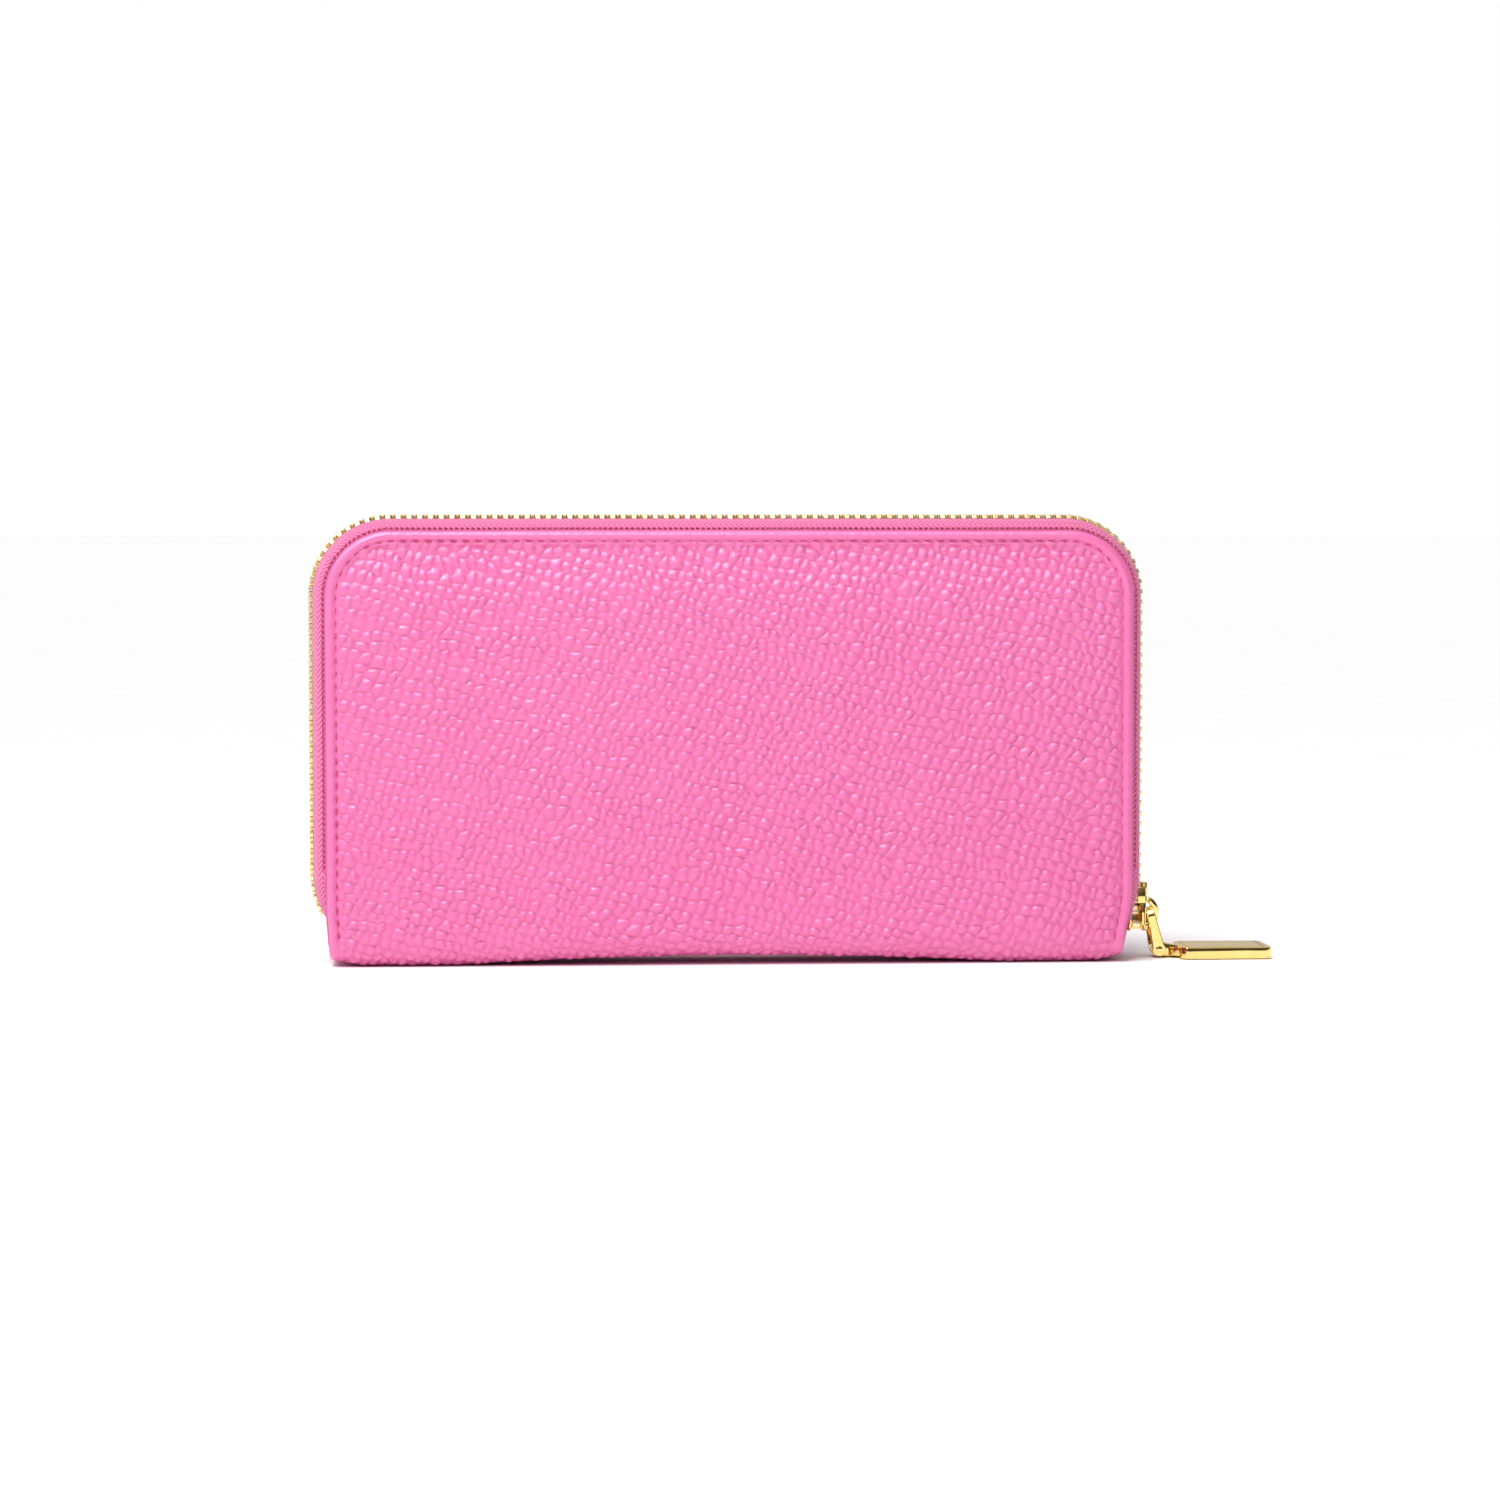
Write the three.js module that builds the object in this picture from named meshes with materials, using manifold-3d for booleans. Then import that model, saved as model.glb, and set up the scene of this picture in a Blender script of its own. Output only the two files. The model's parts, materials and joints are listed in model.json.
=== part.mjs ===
// A zip-around wallet that stands on its spine: two pebbled leather covers, a metal zip round three
// sides, a coin pocket between the covers, card slots on each cover, and a hooked zip slider that
// carries a link and a flat metal pull.
// Millimetres, +Z up. The origin is the middle of the spine's resting face, +X runs along the spine
// towards the slider's closed end, and -Y is the front cover's side.
import * as THREE from "three";
import { mergeVertices } from "three/addons/utils/BufferGeometryUtils.js";
import Module from "manifold-3d";

const wasm = await Module();
wasm.setup();

// ---- driving dimensions ----
const GAP = 0.3; // air between pieces that lie against each other
const HEIGHT = 105; // floor to the outside of the zip chain along the top
const HALF_WIDTH = 98; // middle of the wallet to the outside of the zip chain at each side
const HALF_DEPTH = 13; // middle of the zip to the outside of each cover
const CHAIN_CORNER = 19; // radius of the zip's two upper corners
const ZIP_END_Z = 9; // lowest teeth
const TUCK_START_Z = 21; // where the left end of the zip starts to turn in towards the spine
const TUCK_RADIUS = 20;

const COVER_HALF_WIDTH = 94.75;
const COVER_TOP = 101.4;
const COVER_BOTTOM = 9; // where each cover meets the spine
const COVER_CORNER = 15.5;
const LEATHER_T = 1.4;
const BOARD_T = 0.8;
const LINING_T = 0.4;
const BOARD_INSET = 4.25;
const BOARD_CORNER = 12;
const BOARD_NOTCH = [3.5, 15]; // lower corners cut off, to clear the ends of the zip

const CARD_ROWS = 4;
const CARD_T = 0.4;
const CARD_HALF_WIDTH = 84;
const CARD_TOP = 86; // opening of the highest card row
const CARD_STEP = 10; // each row opens this much lower than the one behind it
const CARD_BOTTOM = 12;

const SPINE_HALF_LENGTH = 91.5;
const SPINE_RADIUS = 6; // outside radius where the spine turns up into each cover
const SPINE_TOP = COVER_BOTTOM - GAP;

const TEETH_PITCH = 2.5;
const CHAIN_T = 2.2; // thickness of the teeth, from the outside of the chain inwards
const TOOTH_TIP_Y = 0.75; // the heads stop here, so that the slider's wedge can pass between them
const TOOTH_ROOT_Y = 1.9;
const CHAIN_EDGE_Y = 3.2;
const TAPE_T = 0.6;
const RIM_STEPS = 52;
const STOP_LENGTH = 1.7;

const SLIDER_LENGTH = 11.4;
const SLIDER_HALF_WIDTH = 3.9;
const SLIDER_PLATE_T = 0.75;
const SLIDER_CLEARANCE = 0.3;
const WEDGE_HALF_WIDTH = 0.4;
const WEDGE_LENGTH = 3.6;
const SLIDER_REST_Z = 6.5; // bottom of the slider when the zip is closed

const HOOK_HALF_WIDTH = 1.5;
const HOOK_T = 1.3;
const HOOK_BEND_Z = 5.6; // where the hook starts to curl back towards the plate
const HOOK_EYE = 2.1; // clear space between the slider's plate and the hook
const LINK_BAR_R = 0.6;
const LINK_ARM_T = 0.9;
const LINK_INNER_Y = 2.5; // inside face of each arm
const LINK_LENGTH = 9.6; // bar centre to pin centre
const LINK_EYE_R = 1.6;
const PIN_R = 0.5;
const PIN_HOLE_R = 0.8;
const PIN_HEAD_R = 1.1;
const PIN_HEIGHT = 2.05; // pin centre above the surface that the wallet stands on
const PIVOT_ABOVE_SLIDER = 4.9; // link bar centre above the bottom of the slider

const TAG_LENGTH = 26.2; // pin centre to the far end
const TAG_HALF_WIDTH = 8;
const TAG_T = 2.4;
const TAG_FLOOR_GAP = 0.4;
const TAG_NECK_LENGTH = 4.6;
const TAG_NECK_HALF_WIDTH = 2.1;
const KNUCKLE_R = 1.65;

const COIN_HALF_WIDTH = 84;
const COIN_WALL_Y = 2.1; // inside face of each coin pocket wall
const COIN_WALL_T = 0.6;
const COIN_BOTTOM = 10.5;
const COIN_TOP = 85;
const COIN_TAPE_Y = 1.2;
const COIN_TAPE_T = 0.5;
const COIN_TAPE_DEPTH = 11;
const COIN_ZIP_Z = 87; // top of the coin pocket's tapes, where the coils sit
const COIN_ZIP_HALF_LENGTH = 80;
const COIL_INNER_Y = 0.65;
const COIL_OUTER_Y = 1.7;
const COIL_HEIGHT = 1.4;
const COIN_SLIDER_LENGTH = 7.5;
const COIN_SLIDER_X = 73;
const COIN_PULL_LENGTH = 9.5;

const GUSSET_INNER_X = 85.6;
const GUSSET_OUTER_X = 91.4;
const GUSSET_HALF_DEPTH = 9.2;
const GUSSET_T = 0.7;
const GUSSET_FOLDS = 6; // slanting walls in each gusset's zigzag

// ---- materials ----
const finish = (color, roughness, metalness) =>
  new THREE.MeshStandardMaterial({ color, roughness, metalness });
const pinkLeather = () => finish(0xf76bae, 0.42, 0);
const liningFabric = () => finish(0xe65a9c, 0.8, 0);
const stiffBoard = () => finish(0xb9a58c, 0.9, 0);
const zipTape = () => finish(0xe25593, 0.85, 0);
const gold = () => finish(0xe3b04b, 0.22, 1);
const coilNylon = () => finish(0xd94f8f, 0.5, 0);

// ---- helpers ----
function piece(name, geometry, material) {
  const mesh = new THREE.Mesh(geometry, material);
  mesh.name = name;
  return mesh;
}

function toSolid(geometry) {
  const bare = geometry.clone();
  bare.deleteAttribute("normal");
  bare.deleteAttribute("uv");
  const merged = mergeVertices(bare, 1e-4);
  return new wasm.Manifold(
    new wasm.Mesh({
      numProp: 3,
      vertProperties: merged.attributes.position.array,
      triVerts: new Uint32Array(merged.index.array),
    }),
  );
}

function toGeometry(solid) {
  const mesh = solid.getMesh();
  return new THREE.BufferGeometry()
    .setAttribute("position", new THREE.BufferAttribute(mesh.vertProperties, 3))
    .setIndex(new THREE.BufferAttribute(mesh.triVerts, 1));
}

const join = (...geometries) =>
  toGeometry(geometries.map(toSolid).reduce((whole, next) => whole.add(next)));

const cut = (geometry, ...tools) =>
  toGeometry(tools.map(toSolid).reduce((rest, tool) => rest.subtract(tool), toSolid(geometry)));

// A box from its lowest to its highest corner.
function block([x0, y0, z0], [x1, y1, z1]) {
  return new THREE.BoxGeometry(x1 - x0, y1 - y0, z1 - z0)
    .translate((x0 + x1) / 2, (y0 + y1) / 2, (z0 + z1) / 2);
}

// A cylinder along Y, centred at (x, z).
function barAlongY(radius, y0, y1, x, z, sides = 16) {
  return new THREE.CylinderGeometry(radius, radius, y1 - y0, sides)
    .translate(x, (y0 + y1) / 2, z);
}

// A flat shape drawn in X and Z, standing between the depths y0 and y1.
function standing(shape, y0, y1, curveSegments = 8) {
  return new THREE.ExtrudeGeometry(shape, { depth: y1 - y0, bevelEnabled: false, curveSegments })
    .rotateX(Math.PI / 2)
    .translate(0, y1, 0);
}

// A flat shape drawn in X and Y, lying between the heights z0 and z1.
function lying(shape, z0, z1, curveSegments = 8) {
  return new THREE.ExtrudeGeometry(shape, { depth: z1 - z0, bevelEnabled: false, curveSegments })
    .translate(0, 0, z0);
}

// A panel with a straight lower edge, rounded upper corners and, with a notch, lower corners cut off.
function archedShape(halfWidth, bottom, top, radius, [notchX, notchZ] = [0, 1]) {
  return new THREE.Shape()
    .moveTo(notchX - halfWidth, bottom)
    .lineTo(halfWidth - notchX, bottom)
    .lineTo(halfWidth, bottom + notchZ)
    .lineTo(halfWidth, top - radius)
    .absarc(halfWidth - radius, top - radius, radius, 0, Math.PI / 2)
    .lineTo(-halfWidth + radius, top)
    .absarc(-halfWidth + radius, top - radius, radius, Math.PI / 2, Math.PI)
    .lineTo(-halfWidth, bottom + notchZ);
}

// ---- the zip's run: up the right side, over the top, down the left and in towards the spine ----
const tuckAngle = Math.asin((TUCK_START_Z - ZIP_END_Z) / TUCK_RADIUS);
const cornerX = HALF_WIDTH - CHAIN_CORNER;
const cornerZ = HEIGHT - CHAIN_CORNER;
const rimOutline = new THREE.Path()
  .moveTo(HALF_WIDTH, ZIP_END_Z)
  .lineTo(HALF_WIDTH, cornerZ)
  .absarc(cornerX, cornerZ, CHAIN_CORNER, 0, Math.PI / 2)
  .lineTo(-cornerX, HEIGHT)
  .absarc(-cornerX, cornerZ, CHAIN_CORNER, Math.PI / 2, Math.PI)
  .lineTo(-HALF_WIDTH, TUCK_START_Z)
  .absarc(TUCK_RADIUS - HALF_WIDTH, TUCK_START_Z, TUCK_RADIUS, Math.PI, Math.PI + tuckAngle);
const rimLength = rimOutline.getLength();

class RimCurve extends THREE.Curve {
  getPoint(t, target = new THREE.Vector3()) {
    const { x, y } = rimOutline.getPoint(t);
    return target.set(x, 0, y);
  }
}
const rim = new RimCurve();

// Sweeps a section of [depth, outward] points round the zip's run.
function roundTheRim(section) {
  const shape = new THREE.Shape(section.map(([depth, outward]) => new THREE.Vector2(-depth, outward)));
  return new THREE.ExtrudeGeometry(shape, { extrudePath: rim, steps: RIM_STEPS });
}

// A row of teeth on its corded edge: a bar whose inner edge runs in and out once for each tooth,
// bent round the zip's run. shift moves the teeth along by that share of half the pitch.
function teethRow(shift) {
  const teeth = Math.floor(rimLength / TEETH_PITCH) - 1;
  const row = new THREE.BoxGeometry(1, 1, 1, 2 * teeth, 1, 1);
  const at = row.attributes.position;
  const start = (rimLength - teeth * TEETH_PITCH) / 2;
  for (let i = 0; i < at.count; i++) {
    const column = Math.round((at.getX(i) + 0.5) * 2 * teeth);
    const innerY = column % 2 ? TOOTH_TIP_Y : TOOTH_ROOT_Y;
    const depth = at.getY(i) > 0 ? CHAIN_EDGE_Y : innerY;
    const inward = at.getZ(i) > 0 ? CHAIN_T : 0;
    const u = (start + ((column + shift) * TEETH_PITCH) / 2) / rimLength;
    const along = rimOutline.getPoint(u);
    const tangent = rimOutline.getTangent(u);
    at.setXYZ(i, along.x - tangent.y * inward, depth, along.y + tangent.x * inward);
  }
  return row;
}

// The tape: under the cover's edge, out and over to the corded edge of the teeth.
function tapeGeometry() {
  const under = HALF_DEPTH - LEATHER_T - GAP - 0.1;
  const face = [[under, -6], [under - 0.8, -3.4], [under - 2.4, -1.7], [CHAIN_EDGE_Y + GAP, -0.95]];
  const back = face.map(([depth, outward]) => [depth - TAPE_T / 3, outward - TAPE_T]).reverse();
  return roundTheRim([...face, ...back]);
}

// A stop clamped over one tape's edge, just past the last tooth at the start or end of the run.
function zipStop(atEnd) {
  const at = rimOutline.getPoint(atEnd);
  const tangent = rimOutline.getTangent(atEnd);
  const [near, far] = atEnd ? [GAP, GAP + STOP_LENGTH] : [-GAP - STOP_LENGTH, -GAP];
  const placed = new THREE.Matrix4()
    .makeBasis(
      new THREE.Vector3(tangent.y, 0, -tangent.x),
      new THREE.Vector3(0, 1, 0),
      new THREE.Vector3(tangent.x, 0, tangent.y),
    )
    .setPosition(at.x, 0, at.y);
  return block([-CHAIN_T, TOOTH_TIP_Y, near], [0, CHAIN_EDGE_Y - GAP, far]).applyMatrix4(placed);
}

// ---- one cover, built as the back one; the front is its mirror image ----
function cover(side, toothShift) {
  const group = new THREE.Group();
  const add = (name, geometry, material) => group.add(piece(`${side}_${name}`, geometry, material));
  let face = HALF_DEPTH;
  const layer = (name, shape, thickness, material) => {
    add(name, standing(shape, face - thickness, face), material);
    face -= thickness + GAP;
  };
  layer(
    "leather",
    archedShape(COVER_HALF_WIDTH, COVER_BOTTOM, COVER_TOP, COVER_CORNER),
    LEATHER_T,
    pinkLeather(),
  );
  const inner = archedShape(
    COVER_HALF_WIDTH - BOARD_INSET,
    COVER_BOTTOM,
    COVER_TOP - BOARD_INSET,
    BOARD_CORNER,
    BOARD_NOTCH,
  );
  layer("board", inner, BOARD_T, stiffBoard());
  layer("lining", inner, LINING_T, liningFabric());
  for (let row = 0; row < CARD_ROWS; row++) {
    const pocket = archedShape(CARD_HALF_WIDTH, CARD_BOTTOM, CARD_TOP - row * CARD_STEP, 2);
    layer(`card_slot_${row + 1}`, pocket, CARD_T, pinkLeather());
  }
  add("zip_tape", tapeGeometry(), zipTape());
  add("zip_teeth", teethRow(toothShift), gold());
  add("top_stop", zipStop(0), gold());
  add("bottom_stop", zipStop(1), gold());
  return group;
}

// ---- the spine, and the two pleated gussets that stop the covers opening too far ----
function spineShape(offset, lift) {
  const side = HALF_DEPTH - offset;
  const radius = SPINE_RADIUS - offset;
  const foot = HALF_DEPTH - SPINE_RADIUS;
  return (path) =>
    path
      .moveTo(-side, SPINE_TOP - lift)
      .lineTo(-side, SPINE_RADIUS)
      .absarc(-foot, SPINE_RADIUS, radius, Math.PI, 1.5 * Math.PI)
      .lineTo(foot, offset)
      .absarc(foot, SPINE_RADIUS, radius, 1.5 * Math.PI, 2 * Math.PI)
      .lineTo(side, SPINE_TOP - lift);
}

// A U-shaped band of the given thickness, this far inside the wallet's outline, along the spine.
function spineBand(offset, thickness, halfLength, lift) {
  const outside = spineShape(offset, lift)(new THREE.Path()).getPoints(6);
  const inside = spineShape(offset + thickness, lift)(new THREE.Path()).getPoints(6).reverse();
  const band = new THREE.Shape([...outside, ...inside]);
  return new THREE.ExtrudeGeometry(band, { depth: 2 * halfLength, bevelEnabled: false })
    .rotateX(Math.PI / 2)
    .rotateZ(Math.PI / 2)
    .translate(-halfLength, 0, 0);
}

function gusset(sign) {
  const zigzag = (shift) =>
    Array.from({ length: GUSSET_FOLDS + 1 }, (_, i) => {
      const x = i % 2 ? GUSSET_OUTER_X : GUSSET_INNER_X;
      const y = -GUSSET_HALF_DEPTH + (2 * GUSSET_HALF_DEPTH * i) / GUSSET_FOLDS;
      return new THREE.Vector2(sign * (x - (shift ? 1.7 * GUSSET_T : 0)), y);
    });
  const outline = new THREE.Shape([...zigzag(false), ...zigzag(true).reverse()]);
  return lying(outline, CARD_BOTTOM, COIN_TOP);
}

function spineAndGussets() {
  const group = new THREE.Group();
  const liningOffset = LEATHER_T + GAP;
  group.add(
    piece("spine_leather", spineBand(0, LEATHER_T, SPINE_HALF_LENGTH, 0), pinkLeather()),
    piece(
      "spine_lining",
      spineBand(liningOffset, LINING_T, SPINE_HALF_LENGTH - BOARD_INSET, 1),
      liningFabric(),
    ),
    piece("right_gusset", gusset(1), liningFabric()),
    piece("left_gusset", gusset(-1), liningFabric()),
  );
  return group;
}

// ---- the coin pocket between the covers ----
function coinPocket() {
  const group = new THREE.Group();
  const w = COIN_HALF_WIDTH;
  const z = COIN_ZIP_Z;
  const wallOuter = COIN_WALL_Y + COIN_WALL_T;
  for (const [side, sign] of [["back", 1], ["front", -1]]) {
    const depths = (a, b) => [Math.min(sign * a, sign * b), Math.max(sign * a, sign * b)];
    const strip = (halfLength, [y0, y1], z0, z1) => block([-halfLength, y0, z0], [halfLength, y1, z1]);
    const wall = archedShape(w, COIN_BOTTOM, COIN_TOP, 3);
    group.add(
      piece(`coin_wall_${side}`, standing(wall, ...depths(COIN_WALL_Y, wallOuter), 4), pinkLeather()),
      piece(
        `coin_tape_${side}`,
        strip(COIN_ZIP_HALF_LENGTH, depths(COIN_TAPE_Y, COIN_TAPE_Y + COIN_TAPE_T), z - COIN_TAPE_DEPTH, z),
        zipTape(),
      ),
      piece(
        `coin_coil_${side}`,
        strip(COIN_ZIP_HALF_LENGTH, depths(COIL_INNER_Y, COIL_OUTER_Y), z + GAP, z + GAP + COIL_HEIGHT),
        coilNylon(),
      ),
    );
  }
  const inside = COIN_WALL_Y - GAP;
  group.add(
    piece("coin_base", block([-w, -inside, COIN_BOTTOM], [w, inside, COIN_BOTTOM + 1]), liningFabric()),
  );
  for (const [end, sign] of [["right", 1], ["left", -1]]) {
    const [x0, x1] = [sign * (w - 2.5), sign * (w - 0.5)].sort((a, b) => a - b);
    group.add(
      piece(
        `coin_seam_${end}`,
        block([x0, -inside, COIN_BOTTOM + 1 + GAP], [x1, inside, COIN_TOP - 1]),
        liningFabric(),
      ),
    );
  }
  return group;
}

// The coin zip's slider: a cap over both coils, a wedge between them, a foot between the tapes and a
// bridge for the pull.
function coinSlider() {
  const half = COIN_SLIDER_LENGTH / 2;
  const top = COIN_ZIP_Z + GAP + COIL_HEIGHT + GAP;
  const skirtY = COIL_OUTER_Y + GAP;
  const foot = COIN_TAPE_Y - GAP;
  const cap = block([-half, -skirtY - 0.5, top], [half, skirtY + 0.5, top + 0.8]);
  const skirts = [1, -1].map((s) => {
    const [y0, y1] = [s * skirtY, s * (skirtY + 0.5)].sort((a, b) => a - b);
    return block([-half, y0, top - 1.4], [half, y1, top + 0.1]);
  });
  const wedge = block([half - 2.8, -0.35, COIN_ZIP_Z - 1.3], [half - 0.6, 0.35, top + 0.1]);
  const sole = block([-half, -foot, COIN_ZIP_Z - 2], [half, foot, COIN_ZIP_Z - 1.2]);
  const bridgeTop = top + 0.8 + 2.1;
  const bridge = [
    block([-2.6, -0.6, top + 0.7], [-1.7, 0.6, bridgeTop]),
    block([1.7, -0.6, top + 0.7], [2.6, 0.6, bridgeTop]),
    block([-2.6, -0.6, bridgeTop - 0.8], [2.6, 0.6, bridgeTop]),
  ];
  const body = piece("coin_slider", join(cap, ...skirts, wedge, sole, ...bridge), gold());
  const pivot = top + 0.8 + 0.65;
  const pull = piece("coin_pull", coinPull(), gold());
  pull.position.set(0, 0, pivot);
  const group = new THREE.Group();
  group.add(body, pull);
  group.position.x = COIN_SLIDER_X;
  return group;
}

// A flat tab on a ring that runs under the slider's bridge, lying towards -X from the pivot.
function coinPull() {
  const outline = new THREE.Shape()
    .moveTo(0.4, -1.8)
    .lineTo(0.4, 1.8)
    .lineTo(-COIN_PULL_LENGTH + 1.5, 1.5)
    .absarc(-COIN_PULL_LENGTH + 1.5, 0, 1.5, Math.PI / 2, 1.5 * Math.PI)
    .lineTo(0.4, -1.8);
  const windowCut = new THREE.Path().moveTo(-0.4, -1).lineTo(-3.1, -1).lineTo(-3.1, 1).lineTo(-0.4, 1);
  outline.holes.push(windowCut);
  return lying(outline, -0.4, 0.4, 6);
}

// ---- the main slider, its hook, and the pull that hangs on it ----
// Built round the outside of the chain: +X outwards, Z = 0 at the slider's lower, leading end.
const plateOuterX = SLIDER_CLEARANCE + SLIDER_PLATE_T;
const innerPlateX = -(CHAIN_T + SLIDER_CLEARANCE);

// A plate that is wide at the leading end, where the two rows part, and narrow at the other.
function sliderPlate(x) {
  const w = SLIDER_HALF_WIDTH;
  const nose = new THREE.Shape()
    .moveTo(-w + 1.2, 0)
    .lineTo(w - 1.2, 0)
    .lineTo(w, 1.2)
    .lineTo(w, SLIDER_LENGTH * 0.55)
    .lineTo(w - 0.8, SLIDER_LENGTH)
    .lineTo(-w + 0.8, SLIDER_LENGTH)
    .lineTo(-w, SLIDER_LENGTH * 0.55)
    .lineTo(-w, 1.2);
  return new THREE.ExtrudeGeometry(nose, { depth: SLIDER_PLATE_T, bevelEnabled: false })
    .rotateX(Math.PI / 2)
    .rotateZ(Math.PI / 2)
    .translate(x, 0, 0);
}

// Only the back edges have lips: the front row leaves this way when the cover opens.
function sliderBody() {
  const lipY = SLIDER_HALF_WIDTH - 0.45;
  const lipTop = SLIDER_LENGTH * 0.55;
  const lips = [
    block([-0.3, lipY, 1.2], [SLIDER_CLEARANCE + 0.1, SLIDER_HALF_WIDTH, lipTop]),
    block([innerPlateX - 0.1, lipY, 1.2], [innerPlateX + 0.4, SLIDER_HALF_WIDTH, lipTop]),
  ];
  const wedge = block(
    [innerPlateX - 0.1, -WEDGE_HALF_WIDTH, 0.2],
    [SLIDER_CLEARANCE + 0.1, WEDGE_HALF_WIDTH, WEDGE_LENGTH],
  );
  return join(
    sliderPlate(SLIDER_CLEARANCE),
    sliderPlate(innerPlateX - SLIDER_PLATE_T),
    wedge,
    ...lips,
  );
}

// An open hook: from the plate's lower end out, up past the link's bar and back towards the plate.
function sliderHook() {
  const inX = plateOuterX + HOOK_EYE;
  const outX = inX + HOOK_T;
  const foot = plateOuterX + GAP;
  const curl = 2.7;
  const curlEnd = 0.4 * Math.PI;
  const tip = new THREE.Vector2(Math.cos(curlEnd), Math.sin(curlEnd)).multiplyScalar(curl - HOOK_T);
  const outline = new THREE.Shape()
    .moveTo(foot, 0)
    .lineTo(outX - 2.2, 0)
    .absarc(outX - 2.2, 2.2, 2.2, 1.5 * Math.PI, 2 * Math.PI)
    .lineTo(outX, HOOK_BEND_Z)
    .absarc(outX - curl, HOOK_BEND_Z, curl, 0, curlEnd)
    .lineTo(outX - curl + tip.x, HOOK_BEND_Z + tip.y)
    .absarc(outX - curl, HOOK_BEND_Z, curl - HOOK_T, curlEnd, 0, true)
    .lineTo(inX, 2.2)
    .absarc(inX - 0.9, 2.2, 0.9, 0, -Math.PI / 2, true)
    .lineTo(foot, HOOK_T);
  return standing(outline, -HOOK_HALF_WIDTH, HOOK_HALF_WIDTH, 6);
}

// The link: a bar through the hook and two tapering arms that end in eyes. Origin at the bar, arms
// running towards -Z.
function pullLink() {
  const armOuter = LINK_INNER_Y + LINK_ARM_T;
  const arm = new THREE.Shape()
    .absarc(0, 0, LINK_BAR_R + 0.3, 0, Math.PI)
    .absarc(0, -LINK_LENGTH, LINK_EYE_R, Math.PI, 2 * Math.PI);
  const arms = [
    standing(arm, LINK_INNER_Y, armOuter, 8),
    standing(arm, -armOuter, -LINK_INNER_Y, 8),
  ];
  const bar = barAlongY(LINK_BAR_R, -LINK_INNER_Y - 0.2, LINK_INNER_Y + 0.2, 0, 0, 12);
  const eye = barAlongY(PIN_HOLE_R, -armOuter - 1, armOuter + 1, 0, -LINK_LENGTH);
  return cut(join(...arms, bar), eye);
}

// The pin's heads stand just clear of the link's arms.
function pullPin() {
  const reach = LINK_INNER_Y + LINK_ARM_T + 0.1;
  const head = 0.35;
  return join(
    barAlongY(PIN_R, -reach - head, reach + head, 0, 0),
    barAlongY(PIN_HEAD_R, reach, reach + head, 0, 0),
    barAlongY(PIN_HEAD_R, -reach - head, -reach, 0, 0),
  );
}

// The pull: a thick plate whose neck narrows to a knuckle on the pin. Origin at the pin.
function pullTag() {
  const w = TAG_HALF_WIDTH;
  const neck = TAG_NECK_HALF_WIDTH;
  const low = TAG_FLOOR_GAP - PIN_HEIGHT;
  const high = low + TAG_T;
  const corner = 1.6;
  const plate = new THREE.Shape()
    .moveTo(TAG_NECK_LENGTH, -neck)
    .lineTo(TAG_NECK_LENGTH, 1 - w)
    .lineTo(TAG_NECK_LENGTH + 1, -w)
    .lineTo(TAG_LENGTH - corner, -w)
    .absarc(TAG_LENGTH - corner, -w + corner, corner, -Math.PI / 2, 0)
    .absarc(TAG_LENGTH - corner, w - corner, corner, 0, Math.PI / 2)
    .lineTo(TAG_NECK_LENGTH + 1, w)
    .lineTo(TAG_NECK_LENGTH, w - 1);
  const neckSide = new THREE.Shape()
    .moveTo(0, -KNUCKLE_R)
    .lineTo(TAG_NECK_LENGTH + 1, low + 0.1)
    .lineTo(TAG_NECK_LENGTH + 1, high - 0.1)
    .lineTo(0, KNUCKLE_R);
  const knuckle = barAlongY(KNUCKLE_R, -neck, neck, 0, 0, 20);
  const hole = barAlongY(PIN_HOLE_R, -4, 4, 0, 0);
  return cut(join(lying(plate, low, high, 5), standing(neckSide, -neck, neck), knuckle), hole);
}

function sliderAndPull() {
  const slider = new THREE.Group();
  slider.position.set(HALF_WIDTH, 0, SLIDER_REST_Z);
  slider.add(piece("slider_body", sliderBody(), gold()), piece("slider_hook", sliderHook(), gold()));

  const link = new THREE.Group();
  const drop = SLIDER_REST_Z + PIVOT_ABOVE_SLIDER - PIN_HEIGHT;
  link.position.set(plateOuterX + HOOK_EYE / 2, 0, PIVOT_ABOVE_SLIDER);
  link.rotation.y = -Math.acos(drop / LINK_LENGTH);
  link.add(piece("pull_link", pullLink(), gold()));
  slider.add(link);

  const pin = new THREE.Group();
  pin.position.set(0, 0, -LINK_LENGTH);
  pin.rotation.y = -link.rotation.y;
  pin.add(piece("pull_pin", pullPin(), gold()), piece("pull_tag", pullTag(), gold()));
  link.add(pin);
  return slider;
}

// ---- the wallet ----
const wallet = new THREE.Group();
const front = cover("front", 0.5);
front.scale.y = -1;
wallet.add(cover("back", -0.5), front, spineAndGussets(), coinPocket(), coinSlider(), sliderAndPull());

export default wallet;
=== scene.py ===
"""Looks of the zip-around wallet: pebbled pink leather, herringbone zip tape, gold zip and pull.

Shapes are worked out in millimetres and turned into metres when a mesh is made.
+X runs along the spine towards the slider, -Y is the front cover's side, +Z is up.
"""

import json
import math

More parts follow.
